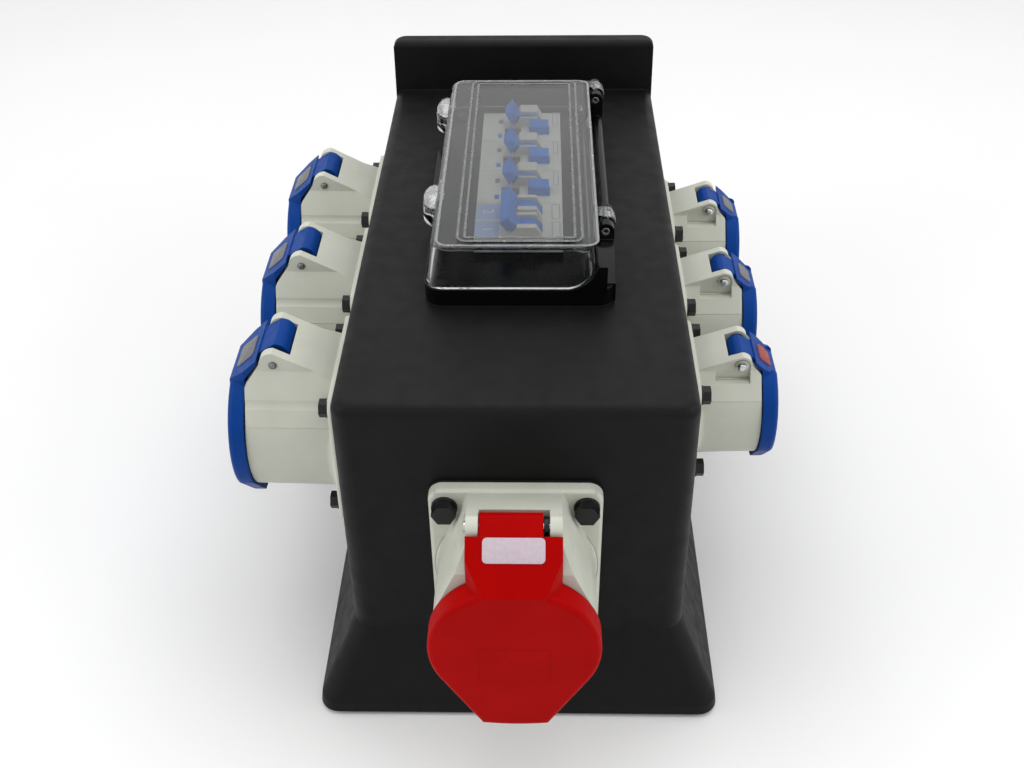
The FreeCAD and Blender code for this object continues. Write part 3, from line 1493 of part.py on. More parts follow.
def lever_hump(body, near_end, far_end, spot, drum):
    """A hump on the nose from its near to its far end, with an open slot for a drum."""
    hump = sketch(body, "XZ_Plane", f"-({far_end})")
    outline(hump, [
        ("drum_x - hump_foot", "-hump_height"),
        ("drum_x + hump_foot", "-hump_height"),
        ("drum_x + hump_foot", "0"),
        ("drum_x + hump_crown", "hump_height"),
        ("drum_x - hump_crown", "hump_height"),
        ("drum_x - hump_foot", "0"),
    ])
    pad(body, hump, f"({far_end}) - ({near_end})")
    slot = f"{drum} + 2 * drum_gap"
    drum_circle(body, spot, "drum_radius + drum_gap", pocket, slot)
    mouth = sketch(body, "XZ_Plane", f"-({spot})")
    rectangle(mouth, "drum_x - hump_foot", "drum_x + hump_foot", "0", "2 * hump_height")
    pocket(body, mouth, slot, both_ways=True)


def breaker_block(name):
    body = new_body(name)
    drawing = sketch(body, "XZ_Plane")
    case_profile(drawing)
    pad(body, drawing, "2 * module_width - 2 * case_gap", both_ways=True)
    return body


def centred_rectangle(drawing, x_text, y_text, width, length):
    rectangle(
        drawing, f"{x_text} - ({width}) / 2", f"{x_text} + ({width}) / 2",
        f"{y_text} - ({length}) / 2", f"{y_text} + ({length}) / 2",
    )


def rcbo_case():
    """A residual-current breaker: one lever, a test button, a status window and two small marks."""
    body = breaker_block("rcbo_case_form")
    lever_hump(body, "rcbo_hump_near", "rcbo_hump_far", "rcbo_drum_y", "rcbo_drum")
    well = sketch(body, "XY_Plane")
    centred_rectangle(
        well, "button_x", "button_y", "button_width + 2 * fit_gap", "button_length + 2 * fit_gap"
    )
    pocket(body, well, "button_height - button_proud + button_travel")
    status = sketch(body, "XY_Plane")
    centred_rectangle(status, "status_x", "status_y", "status_width", "status_length")
    pocket(body, status, "status_depth")
    lamps = sketch(body, "XY_Plane")
    for place in ("lamp_near", "lamp_far"):
        centred_rectangle(lamps, "lamp_x", place, "lamp_side", "lamp_side")
    pocket(body, lamps, "lamp_depth")
    return body


def mcb_case():
    """A two-pole breaker with linked levers."""
    body = breaker_block("mcb_case_form")
    for pole in POLES:
        lever_hump(
            body, f"{pole} + mcb_hump_near", f"{pole} + mcb_hump_far", f"{pole} + mcb_drum_y", "mcb_drum"
        )
    return body


def test_button():
    body = new_body("test_button_form")
    drawing = sketch(body, "XY_Plane", "button_proud - button_height")
    centred_rectangle(drawing, "button_x", "button_y", "button_width", "button_length")
    block = pad(body, drawing, "button_height")
    top = value("button_proud")
    round_edges(
        body, block, "button_rounding", lambda box: near(box.ZMin, top) and near(box.ZMax, top)
    )
    return body


def along_lever(distance, side):
    """A point of the leaning lever: distance from the axis, side to its right."""
    lean = "lever_lean * 1 deg"
    return (
        f"drum_x - ({distance}) * sin({lean}) + ({side}) * cos({lean})",
        f"-drum_below + ({distance}) * cos({lean}) + ({side}) * sin({lean})",
    )


def lever_block(body, spot, start, stop, half, length):
    """A straight stretch of the leaning lever, length long round the spot along the row."""
    drawing = sketch(body, "XZ_Plane", f"-({spot})")
    outline(drawing, [
        along_lever(start, f"-{half}"),
        along_lever(start, half),
        along_lever(stop, half),
        along_lever(stop, f"-{half}"),
    ])
    pad(body, drawing, length, both_ways=True)


def lever_arm(body, spot, drum):
    drum_circle(body, spot, "drum_radius", pad, drum)
    lever_block(body, spot, "0", "paddle_start + paddle_half", "lever_arm", drum)


def rcbo_lever():
    """A narrow drum and arm with a paddle whose ends are pointed."""
    body = new_body("rcbo_lever_form")
    lever_arm(body, "rcbo_drum_y", "rcbo_drum")
    lever_block(body, "rcbo_drum_y", "paddle_start", "lever_reach", "paddle_half", "paddle_length")
    left = along_lever("lever_reach", "-paddle_half")[0]
    right = along_lever("paddle_start", "paddle_half")[0]
    points = sketch(body, "XY_Plane", "lever_reach")
    for side in ("-", "+"):
        tip = f"rcbo_drum_y {side} paddle_length / 2"
        root = f"rcbo_drum_y {side} (paddle_length / 2 - paddle_point)"
        for edge in (left, right):
            corners = [(edge, root), (edge, tip), (f"({left} + {right}) / 2", tip)]
            outline(points, corners)
    pocket(body, points, "lever_reach")
    return body


def mcb_lever():
    """Two drums and arms with one bar across them."""
    body = new_body("mcb_lever_form")
    for pole in POLES:
        lever_arm(body, f"{pole} + mcb_drum_y", "mcb_drum")
    lever_block(body, "0", "paddle_start", "lever_reach", "paddle_half", "link_length")
    return body


def breakers():
    rcbo_forms = (("rcbo_case", rcbo_case()), ("rcbo_lever", rcbo_lever()), ("test_button", test_button()))
    first = value(f"row_middle - {ROW_HALF} + module_width")
    step = value("2 * module_width")
    nose = value(NOSE_TOP)
    for label, form in (("mcb_case", mcb_case()), ("mcb_lever", mcb_lever())):
        name_piece(placed(form, at(0, first, nose), label), label)
    for number in (1, 2, 3):
        for kind, form in rcbo_forms:
            label = f"{kind}_{number}"
            name_piece(placed(form, at(0, first + number * step, nose), label), label)


RAIL_TOP = f"({NOSE_TOP} - case_depth + rail_seat)"
RAIL_LENGTH = f"(2 * {ROW_HALF} + 2 * rail_spare)"


def din_rail():
    """A top-hat rail, open upwards, with the breakers on its two brims."""
    body = new_body("rail_form")
    drawing = sketch(body, "XZ_Plane", f"-row_middle - {RAIL_LENGTH} / 2")
    low = f"{RAIL_TOP} - rail_height"
    outline(drawing, [
        ("-rail_half", RAIL_TOP),
        ("-rail_half", f"{RAIL_TOP} - rail_sheet"),
        ("-rail_hat_half", f"{RAIL_TOP} - rail_sheet"),
        ("-rail_hat_half", low),
        ("rail_hat_half", low),
        ("rail_hat_half", f"{RAIL_TOP} - rail_sheet"),
        ("rail_half", f"{RAIL_TOP} - rail_sheet"),
        ("rail_half", RAIL_TOP),
        ("rail_hat_half - rail_sheet", RAIL_TOP),
        ("rail_hat_half - rail_sheet", f"{low} + rail_sheet"),
        ("-rail_hat_half + rail_sheet", f"{low} + rail_sheet"),
        ("-rail_hat_half + rail_sheet", RAIL_TOP),
    ])
    pad(body, drawing, RAIL_LENGTH)
    name_piece(body, "din_rail")


def rail_brackets():
    """Two folded straps that hang the rail's ends from the underside of the top."""
    low = f"({RAIL_TOP} - rail_height)"
    high = "(body_height - wall)"
    straps = []
    for side in (-1, 1):
        body = new_body("bracket_form")
        drawing = sketch(body, "YZ_Plane")
        web = f"row_middle + ({side}) * ({RAIL_LENGTH} / 2 + fit_gap)"
        outer = f"{web} + ({side}) * bracket_sheet"
        inner_end = f"{web} - ({side}) * bracket_tab"
        outer_end = f"{outer} + ({side}) * bracket_tab"
        outline(drawing, [
            (inner_end, f"{low} - bracket_sheet"),
            (outer, f"{low} - bracket_sheet"),
            (outer, f"{high} - bracket_sheet"),
            (outer_end, f"{high} - bracket_sheet"),
            (outer_end, high),
            (web, high),
            (web, low),
            (inner_end, low),
        ])
        pad(body, drawing, "2 * bracket_half", both_ways=True)
        straps.append(body)
    group(straps, "rail_brackets")


def wire_bars():
    """Earth and neutral bars on insulators above the base plate."""
    posts = []
    low = "(base_thickness + bar_post_height)"
    for label, side in (("neutral_bar", "-"), ("earth_bar", "")):
        body = new_body(f"{label}_form")
        middle = f"{side}(bar_x)"
        drawing = sketch(body, "XY_Plane", low)
        rectangle(
            drawing, f"{middle} - bar_width / 2", f"{middle} + bar_width / 2",
            "-bar_length / 2", "bar_length / 2",
        )
        pad(body, drawing, "bar_height")
        holes = sketch(body, "YZ_Plane", f"{middle} + bar_width / 2")
        count = int(value("bar_length / bar_hole_pitch"))
        for index in range(count):
            along = f"({index} - ({count} - 1) / 2) * bar_hole_pitch"
            circle(holes, along, f"{low} + bar_height / 2", "bar_hole_radius")
        pocket(body, holes, "bar_width")
        name_piece(body, label)
        for end in (-1, 1):
            post = new_body("bar_post_form")
            foot = sketch(post, "XY_Plane", "base_thickness")
            rounded_rectangle(
                foot, middle, f"({end}) * (bar_length / 2 - bar_post_inset)",
                "2 * bar_post_half", "2 * bar_post_half", "bar_post_corner",
            )
            pad(post, foot, "bar_post_height")
            posts.append(post)
    group(posts, "bar_insulators")


def check_and_write():
    """Stops if anything failed, then writes one file for each piece."""
    doc.recompute()
    for item in doc.Objects:
        if "Invalid" in item.State or "Error" in item.State:
            raise ValueError(f"{item.Label} of {item.TypeId} failed: {item.State}")
    for label, item in pieces.items():
        if item.Shape.isNull() or not item.Shape.isValid() or not item.Shape.Solids:
            raise ValueError(f"{label} has no valid shape")
    os.makedirs("parts", exist_ok=True)
    for label, item in pieces.items():
        item.Shape.exportStep(os.path.join("parts", f"{label}.step"))


def main():
    enclosure()
    base_plate()
    base_screws()
    sockets()
    inlet()
    window_gasket()
    window_frame()
    window_screws()
    window_cover()
    window_hinge_pins()
    breakers()
    din_rail()
    rail_brackets()
    wire_bars()
    check_and_write()


main()
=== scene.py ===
"""Looks of the portable power distribution box: a finish for every CAD piece, the plates, tiles and small marks
that are fixed to it, and the stage with the photograph's camera.

Metres. +Z is up and the front faces -Y. The file is laid out as an add-on; run as a script, it builds the scene.
"""
import json
import math

import bpy
from mathutils import Matrix, Vector


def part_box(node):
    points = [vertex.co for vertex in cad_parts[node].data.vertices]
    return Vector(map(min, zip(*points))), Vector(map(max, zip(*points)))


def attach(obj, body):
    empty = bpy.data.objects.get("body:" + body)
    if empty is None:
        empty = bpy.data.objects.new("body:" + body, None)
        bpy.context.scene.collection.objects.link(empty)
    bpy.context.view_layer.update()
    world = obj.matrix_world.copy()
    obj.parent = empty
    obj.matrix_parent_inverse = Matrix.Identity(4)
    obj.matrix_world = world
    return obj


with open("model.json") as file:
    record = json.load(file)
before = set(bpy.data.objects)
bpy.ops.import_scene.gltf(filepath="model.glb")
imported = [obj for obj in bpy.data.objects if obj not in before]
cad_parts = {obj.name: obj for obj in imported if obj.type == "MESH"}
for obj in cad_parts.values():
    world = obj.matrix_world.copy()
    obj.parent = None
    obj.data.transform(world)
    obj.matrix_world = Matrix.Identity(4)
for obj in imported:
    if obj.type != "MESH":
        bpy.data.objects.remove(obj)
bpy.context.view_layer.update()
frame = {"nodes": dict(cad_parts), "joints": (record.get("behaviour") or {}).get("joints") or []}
NODES = frame["nodes"]
MM = 0.001

bl_info = {
    "name": "Power distribution box",
    "version": (1, 0, 0),
    "blender": (4, 5, 0),
    "location": "3D View > Sidebar > Power box",
    "description": "Finishes, plates and stage for the power distribution box",
    "category": "Object",
}

LEFT_SOCKETS = [f"left_socket_{number}" for number in (1, 2, 3)]
RIGHT_SOCKETS = [f"right_socket_{number}" for number in (1, 2, 3)]
SIDE_SOCKETS = LEFT_SOCKETS + RIGHT_SOCKETS
FRONT_SOCKET = "front_socket"
SOCKETS = SIDE_SOCKETS + [FRONT_SOCKET]
RCBO_NUMBERS = (1, 2, 3)
RCBO_CASES = [f"rcbo_case_{number}" for number in RCBO_NUMBERS]
MCB_CASE = "mcb_case"
COVER = "window_cover"

RIGHT = Vector((1, 0, 0))
BACK = Vector((0, 1, 0))
UP = Vector((0, 0, 1))
OUTWARD = {"left": -RIGHT, "right": RIGHT, "front": -BACK}

# Steps and tolerances of the modelling
CORNER_STEPS = 6
EDGE_STEPS = 2
PLATE_EDGE = 0.3         # rounding of a plate's front edges, in thicknesses
FRAME_EDGE = 0.25        # rounding of a frame's edges, in its line or thickness, whichever is less
PAD_EDGE = 1 / 3         # rounding of a bent pad's edges, in thicknesses
DOME_STEPS = (24, 16)    # round the dome, and from pole to pole of its ball
DOME_FLATNESS = 0.4      # height of a dome, in radii
PAD_STEPS = 16
BLEND_STEPS = 360
SMOOTH_ANGLE = math.radians(40)
BLEND_SMOOTH_ANGLE = math.radians(25)
TOLERANCE = 1e-6

# What tells one CAD face or corner from another
SAME_PLANE = 0.05 * MM   # corners this close in depth lie in one flat face
LARGE_SHARE = 0.25       # a large face has at least this share of the largest one's area
SQUARE_ON = 0.99         # least cosine of a face that looks straight along a direction
LEAST_LEAN = 0.2         # least cosine of a sloping face with either of its two directions
PIN_REACH = 3 * MM       # more than a lid pin's radius
PIN_HALF = 30 * MM       # more than half a lid pin's length
MOUTH_DEPTH = 1 * MM     # corners this close to a barrel's end lie on its mouth
LUG_GAP = 4              # least gap between two hinge lugs, in radii of a lug

# The clear cover
POLYCARBONATE_IOR = 1.58
# smoky tint of the cover, deepened to paint shade on what is seen through it
SMOKE_AND_SHADE_TINT = (0.62, 0.625, 0.63)
# whitish haze of the ridges and bosses: partly real haze, partly painted highlight
HAZE_AND_HIGHLIGHT_TINT = (0.97, 0.975, 0.98)
LAMPS_THROUGH = (0.6, 0.61, 0.62, 1)   # what each of its faces lets through of a lamp's light


def linear(red, green, blue):
    """Screen values from 0 to 255 as the linear colour that a shader takes."""
    return tuple(((part / 255 + 0.055) / 1.055) ** 2.4 for part in (red, green, blue))


def colour(name, red, green, blue, description):
    return bpy.props.FloatVectorProperty(
        name=name, description=description, subtype="COLOR", min=0, max=1, default=linear(red, green, blue)
    )


def length(name, millimetres, description):
    return bpy.props.FloatProperty(
        name=name, description=description, unit="LENGTH", precision=4, default=millimetres * MM
    )


def angle(name, degrees, description):
    return bpy.props.FloatProperty(
        name=name, description=description, subtype="ANGLE", default=math.radians(degrees)
    )


def place(name, metres, description):
    return bpy.props.FloatVectorProperty(
        name=name, description=description, unit="LENGTH", subtype="TRANSLATION", default=metres
    )


def power(name, watts, description):
    return bpy.props.FloatProperty(name=name, description=description, unit="POWER", default=watts)


class PowerBoxColours(bpy.types.PropertyGroup):
    rubber: colour("Rubber", 17, 17, 18, "Enclosure, foot and upstand")
    # paler colour along the rubber's edges: partly wear, partly painted highlight
    rubber_edge_wear_and_highlight: colour("Rubber edge", 38, 38, 39, "Rubbed edges of the enclosure")
    gasket: colour("Gasket", 20, 20, 20, "Gaskets and lid seals")
    glossy_black: colour("Window frame", 9, 9, 10, "Moulded frame under the clear cover")
    housing: colour("Socket grey", 206, 208, 195, "Flanges, barrels and hinge blocks")
    lid_blue: colour("Lid blue", 6, 62, 140, "Lids of the side sockets")
    lid_red: colour("Lid red", 172, 2, 2, "Lid of the front socket and the inlet")
    carrier: colour("Contact carrier", 62, 63, 66, "Carriers inside the barrels")
    bolt: colour("Bolt black", 18, 18, 19, "Flange bolts")
    steel: colour("Steel", 196, 197, 199, "Pins, screws and rail")
    pin_end: colour("Pin end", 128, 128, 126, "Riveted ends of the lid pins")
    brass: colour("Brass", 214, 178, 104, "Contacts and bars")
    breaker: colour("Breaker white", 203, 204, 195, "Breaker cases")
    breaker_blue: colour("Breaker blue", 6, 115, 210, "Levers and test buttons")
    insulator: colour("Insulator", 150, 58, 44, "Posts under the bars")
    status: colour("Status window", 92, 94, 94, "Dark insert in each residual-current breaker")
    tile: colour("Number tile", 152, 176, 212, "Tiles on the two-pole breaker")
    plate_pale: colour("Pale plate", 203, 188, 197, "Bare plate on the red lid")
    plate_grey: colour("Grey plate", 112, 111, 113, "Bare plates on the other blue lids")
    plate_rust: colour("Rust plate", 150, 62, 54, "Bare plate on the nearest small lid")
    mark_grey: colour("Grey mark", 120, 121, 120, "Far mark on each residual-current breaker")
    line_blue: colour("Label outline", 92, 118, 168, "Outlines of the blank label fields")
    number: colour("Number", 226, 229, 232, "Numbers on the tiles")


class PowerBoxSizes(bpy.types.PropertyGroup):
    plate_thickness: length("Plate thickness", 0.5, "Thickness of the lids' plates")
    plate_corner: length("Plate corner", 2.0, "Corner radius of the lids' plates")
    red_plate_width: length("Red lid's plate", 27, "Width of the plate on the red lid")
    red_plate_height: length("Its height", 11, "Height of the plate on the red lid")
    large_plate_width: length("Large lids' plate", 17, "Width of the plates on the large blue lids")
    large_plate_height: length("Its height", 12, "Height of the plates on the large blue lids")
    small_plate_width: length("Small lids' plate", 13, "Width of the plates on the small blue lids")
    small_plate_height: length("Its height", 8, "Height of the plates on the small blue lids")
    face_field_width: length("Face field", 31.8, "Width of the faint moulded field on the red lid's face")
    face_field_height: length("Its height", 21.9, "Height of that field")
    face_field_drop: length("Its drop", 7.7, "How far the field's middle lies below the socket's axis")
    face_field_line: length("Its outline", 0.5, "Width of the field's outline")
    blend_sweep: angle("Blend", 28, "How far a cheek's blend runs round the barrel")
    pin_dome: length("Pin dome", 2.3, "Radius of the domes on the lid pins' heads")
    pin_end: length("Pin end", 1.9, "Radius of the domes on the other ends")
    print_thickness: length("Print thickness", 0.12, "Thickness of the printed fields")
    status_width: length("Status insert", 9.3, "Width of the status insert of a residual-current breaker")
    status_length: length("Its length", 13.9, "Length of the status insert")
    status_across: length("Its place across", -5, "Place of the insert across the box")
    status_along: length("Its place along", -7.6, "Place of the insert from its breaker's middle")
    status_depth: length("Its depth", 1, "How far the insert lies below its breaker's top")
    mark_width: length("Mark", 2.4, "Width of the two small marks beside it")
    mark_length: length("Its length", 4.6, "Length of the two small marks")
    mark_across: length("Its place across", -12.2, "Place of the two marks across the box")
    far_mark_along: length("Far mark", 6.2, "Place of the far mark from its breaker's middle")
    near_mark_along: length("Near mark", -11.1, "Place of the near mark from its breaker's middle")
    label_line: length("Label line", 0.3, "Width of the label fields' outlines")
    label_width: length("Label field", 2.8, "Width of the label field of a residual-current breaker")
    label_length: length("Its length", 15, "Length of that field")
    label_across: length("Its place across", 19.4, "Place of that field across the box")
    label_along: length("Its place along", 8.7, "Place of that field from its breaker's middle")
    pole_pitch: length("Pole", 17.5, "Distance of the two-pole breaker's poles")
    pole_label_width: length("Pole's label field", 4.3, "Width of each pole's label field")
    pole_label_length: length("Its length", 14.5, "Length of each pole's label field")
    pole_label_across: length("Its place across", 19, "Place of the poles' label fields across the box")
    tile_width: length("Number tile", 12.2, "Width of a number tile")
    tile_length: length("Its length", 15.6, "Length of a number tile")
    tile_corner: length("Its corner", 1.5, "Corner radius of a number tile")
    tile_across: length("Its place across", -16.2, "Place of the number tiles across the box")
    number_height: length("Number height", 8, "Height of the numbers")
    ridge_width: length("Ridge", 1.2, "Width of the ridges on the clear cover")
    ridge_height: length("Its height", 0.25, "Height of those ridges")
    ridge_corner: length("Ridge corner", 5, "Corner radius of the outer ridge round the cover's raised panel")
    ridge_step: length("Ridge step", 3.4, "Distance of the inner ridge from the outer one")
    rim_corner: length("Rim corner", 6, "Corner radius of the ridge along the cover's top edge")
    lug_cap: length("Lug cap", 0.35, "Thickness of the milky cap over each of the cover's hinge lugs")
    lug_cap_inset: length("Its inset", 0.5, "How far a cap stays in from each end of its lug")
    lug_cap_start: angle("Its start", 60, "Where a cap begins, from the right upwards")
    lug_cap_sweep: angle("Its sweep", 115, "How far a cap runs on from there")
    latch_reach: length("Latch", 2, "How far in from the cover's side its latches are looked for")
    latch_pad_width: length("Latch pad", 11, "Width of the milky thumb pad of each latch")
    latch_pad_length: length("Its length", 23, "Length of that pad")
    latch_pad_rise: length("Its rise", 4, "Height of that pad")


class PowerBoxStage(bpy.types.PropertyGroup):
    camera_place: place("Camera", (0.01063, -0.56259, 0.52184), "Where the photograph was taken from")
    camera_pitch: angle("Pitch", 38.75, "How far the camera looks down")
    camera_yaw: angle("Yaw", -1.68, "How far the camera looks right")
    camera_roll: angle("Roll", 0.89, "How far the camera leans")
    camera_lens: bpy.props.FloatProperty(
        name="Lens", description="Focal length in millimetres on a 36 mm sensor", default=41.84
    )
    floor: colour("Floor", 250, 250, 250, "Pale floor")
    floor_side: length("Floor side", 12000, "Side of the floor")
    sky: bpy.props.FloatProperty(name="Sky", description="Light from all sides", default=0.55)
    lamp_target: place("Lamps' aim", (0, 0, 0.1), "Where the softboxes look")
    key: power("Key", 11, "Power of the softbox above")
    key_place: place("Its place", (0, 0.25, 1.5), "Middle of the softbox above")
    key_width: length("Its width", 1600, "Width of the softbox above")
    key_depth: length("Its depth", 1400, "Depth of the softbox above")
    fill: power("Fill", 6, "Power of the softboxes at the sides")
    fill_place: place("Its place", (1.3, -0.5, 0.9), "Middle of the right softbox; the left one mirrors it")
    fill_side: length("Its side", 800, "Side of the softboxes at the sides")


# Finishes
class NodeTree:
    """A node tree, with a short way to add nodes that are set and linked."""

    def __init__(self, tree):
        self.nodes = tree.nodes
        self.links = tree.links

    def add(self, kind, sockets=(), **settings):
        node = self.nodes.new(kind)
        for name, value in settings.items():
            setattr(node, name, value)
        for socket, value in sockets:
            if isinstance(value, bpy.types.NodeSocket):
                self.links.new(value, node.inputs[socket])
            else:
                node.inputs[socket].default_value = value
        return node

    def calculate(self, operation, first, second=0):
        return self.add("ShaderNodeMath", ((0, first), (1, second)), operation=operation).outputs["Value"]

    def between(self, source, low, high, start=0.35, end=0.65):
        """The source, stretched from start and end to low and high."""
        sockets = (("Value", source), ("From Min", start), ("From Max", end), ("To Min", low), ("To Max", high))
        return self.add("ShaderNodeMapRange", sockets).outputs["Result"]


class Finish(NodeTree):
    """One material: a Principled shader and the nodes that feed it."""
    BEVEL_SAMPLES = 6
    EDGE = (0.86, 0.995)        # cosine of the turn that the rounding makes at a full and at a faint edge
    PATCH = (0.4, 0.7)          # noise at which a rubbed patch begins and is full
    PATCH_SIZE = 12             # size of a rubbed patch, in radii of the edge
    GLANCING = (0.1, 0.45)      # facing weight at which the shine begins and is full
    FIELD_SHADE = 0.6           # brightness of the painted shade on a field's outline, beside the base colour
    FIELD_STRENGTH = 0.7        # how much of that shows

    def __init__(self, name, base, roughness, **settings):
        self.material = bpy.data.materials.new(name)
        self.material.use_nodes = True
        super().__init__(self.material.node_tree)
        self.shader = self.nodes["Principled BSDF"]
        self.base = tuple(base)
        self.shader.inputs["Base Color"].default_value = (*self.base, 1)
        self.shader.inputs["Roughness"].default_value = roughness
        for socket, value in settings.items():
            self.shader.inputs[socket.replace("_", " ")].default_value = value
        self.place = self.add("ShaderNodeTexCoord").outputs["Object"]
        self.normal = None

    def noise(self, size, detail=3, roughness=0.5):
        """A noise from 0 to 1 whose spots are about as large as the size."""
        sockets = (("Vector", self.place), ("Scale", 1 / size), ("Detail", detail), ("Roughness", roughness))
        return self.add("ShaderNodeTexNoise", sockets).outputs["Fac"]

    def rounded(self, radius):
        """The normal of the surface with its edges rounded."""
        bevel = self.add("ShaderNodeBevel", (("Radius", radius),), samples=self.BEVEL_SAMPLES)
        return bevel.outputs["Normal"]

    def tint(self, other, amount):
        """Turns the base colour towards the other by the amount, from 0 to 1 at each point."""
        current = self.shader.inputs["Base Color"]
        mix = self.add("ShaderNodeMix", data_type="RGBA")
        if current.is_linked:
            self.links.new(current.links[0].from_socket, mix.inputs["A"])
        else:
            mix.inputs["A"].default_value = (*self.base, 1)
        mix.inputs["B"].default_value = (*other, 1)
        self.links.new(amount, mix.inputs["Factor"])
        self.links.new(mix.outputs["Result"], current)

    def mottle(self, size, share, strength):
        """Uneven colour: spots that are darker by the share, shown at the strength."""
        darker = tuple(part * (1 - share) for part in self.base)
        self.tint(darker, self.between(self.noise(size), 0, strength))

    def polish(self, size, low, high):
        """Roughness that wanders between two values."""
        self.links.new(self.between(self.noise(size, detail=4), low, high), self.shader.inputs["Roughness"])

    def grain(self, size, depth, strength=0.5):
        """Fine bumps of the moulded surface, over any rounding of its edges."""
        sockets = [("Height", self.noise(size, detail=2)), ("Distance", depth), ("Strength", strength)]
        if self.normal is not None:
            sockets.append(("Normal", self.normal))
        self.normal = self.add("ShaderNodeBump", sockets).outputs["Normal"]
        self.links.new(self.normal, self.shader.inputs["Normal"])

    def soft_edges(self, radius):
        """Rounds sharp edges in the shading."""
        self.normal = self.rounded(radius)
        self.links.new(self.normal, self.shader.inputs["Normal"])

    def rubbed_and_highlit_edges(self, radius, other, amount):
        """Turns the colour towards the other along edges, unevenly: partly wear, partly a painted highlight along
        the edges.
        """
        flat = self.add("ShaderNodeNewGeometry").outputs["Normal"]
        sockets = ((0, self.rounded(radius)), (1, flat))
        dot = self.add("ShaderNodeVectorMath", sockets, operation="DOT_PRODUCT").outputs["Value"]
        edge = self.between(dot, 1, 0, *self.EDGE)
        patch = self.between(self.noise(self.PATCH_SIZE * radius, detail=4), 0, amount, *self.PATCH)
        self.tint(other, self.calculate("MULTIPLY", edge, patch))

    def glancing_shine(self, facing, glancing):
        """Mirrors less where the surface is looked at squarely."""
        weight = self.add("ShaderNodeLayerWeight").outputs["Facing"]
        shine = self.between(weight, facing, glancing, *self.GLANCING)
        grey = self.add("ShaderNodeCombineColor", (("Red", shine), ("Green", shine), ("Blue", shine)))
        self.links.new(grey.outputs["Color"], self.shader.inputs["Specular Tint"])

    def shaded_field_outline(self, middle, width, height, line):
        """Darkens the outline of a field that looks along Y: painted shade along the field's moulded edge."""
        spot = self.add("ShaderNodeSeparateXYZ", (("Vector", self.place),)).outputs
        beyond = []
        for axis, centre, size in (("X", middle.x, width), ("Z", middle.z, height)):
            apart = self.calculate("ABSOLUTE", self.calculate("SUBTRACT", spot[axis], centre))
            beyond.append(self.calculate("SUBTRACT", apart, size / 2))
        edge = self.calculate("ABSOLUTE", self.calculate("MAXIMUM", *beyond))
        darker = tuple(part * self.FIELD_SHADE for part in self.base)
        self.tint(darker, self.between(edge, self.FIELD_STRENGTH, 0, 0, line))

    def let_lamps_through(self):
        """Lets the lamps reach what lies behind a clear piece."""
        output = self.nodes["Material Output"]
        ray = self.add("ShaderNodeLightPath").outputs["Is Shadow Ray"]
        clear = self.add("ShaderNodeBsdfTransparent", (("Color", LAMPS_THROUGH),)).outputs["BSDF"]
        mix = self.add("ShaderNodeMixShader", ((0, ray), (1, self.shader.outputs["BSDF"]), (2, clear)))
        self.links.new(mix.outputs["Shader"], output.inputs["Surface"])


def rubber_finish():
    colours = bpy.context.scene.power_box_colours
    finish = Finish("moulded_rubber", colours.rubber, roughness=0.5, Specular_IOR_Level=0.13)
    finish.soft_edges(radius=1.2 * MM)
    finish.grain(size=0.9 * MM, depth=0.05 * MM, strength=0.35)
    finish.mottle(size=60 * MM, share=0.35, strength=0.6)
    # paler edges: partly wear, partly painted highlight
    finish.rubbed_and_highlit_edges(radius=1.5 * MM, other=colours.rubber_edge_wear_and_highlight, amount=0.5)
    finish.polish(size=9 * MM, low=0.44, high=0.56)
    return finish.material


def dull_rubber_finish():
    colours = bpy.context.scene.power_box_colours
    finish = Finish("gasket_rubber", colours.gasket, roughness=0.7, Specular_IOR_Level=0.2)
    finish.mottle(size=8 * MM, share=0.4, strength=0.8)
    finish.grain(size=0.4 * MM, depth=0.03 * MM)
    return finish.material


def glossy_black_finish():
    colours = bpy.context.scene.power_box_colours
    finish = Finish("glossy_black", colours.glossy_black, roughness=0.2, Specular_IOR_Level=0.16)
    finish.soft_edges(radius=0.7 * MM)
    finish.grain(size=1.2 * MM, depth=0.012 * MM)
    finish.mottle(size=20 * MM, share=0.3, strength=0.5)
    finish.polish(size=6 * MM, low=0.16, high=0.26)
    return finish.material


def moulded_finish(name, base, rough, dust_and_highlight, shine=0.25, field=None, thin=False):
    """Satin moulded plastic with a faint orange peel and uneven colour; paler edges, partly dust and wear and
    partly painted highlight, unless it is thin, and perhaps a field whose outline is darkened as painted shade."""
    # the paler edge colour: partly dust, partly painted highlight
    paler = tuple(part + (1 - part) * dust_and_highlight for part in base)
    finish = Finish(name, base, rough, Specular_IOR_Level=shine)
    if not thin:
        finish.soft_edges(radius=0.6 * MM)
    finish.grain(size=0.7 * MM, depth=0.02 * MM, strength=0.4)
    finish.mottle(size=25 * MM, share=0.1, strength=0.8)
    # paler edges: partly dust and wear, partly painted highlight
    if not thin:
        finish.rubbed_and_highlit_edges(radius=0.5 * MM, other=paler, amount=0.5)
    finish.polish(size=5 * MM, low=rough - 0.05, high=rough + 0.07)
    # a field's outline darkened as painted shade
    if field:
        finish.shaded_field_outline(*field)
    return finish.material


def metal_finish(name, base, rough, streak):
    """Bare or plated metal with fine marks."""
    finish = Finish(name, base, rough, Metallic=1.0)
    finish.soft_edges(radius=0.25 * MM)
    finish.grain(size=streak, depth=0.01 * MM, strength=0.3)
    finish.mottle(size=3 * MM, share=0.25, strength=0.7)
    finish.polish(size=2 * MM, low=rough - 0.06, high=rough + 0.1)
    return finish.material


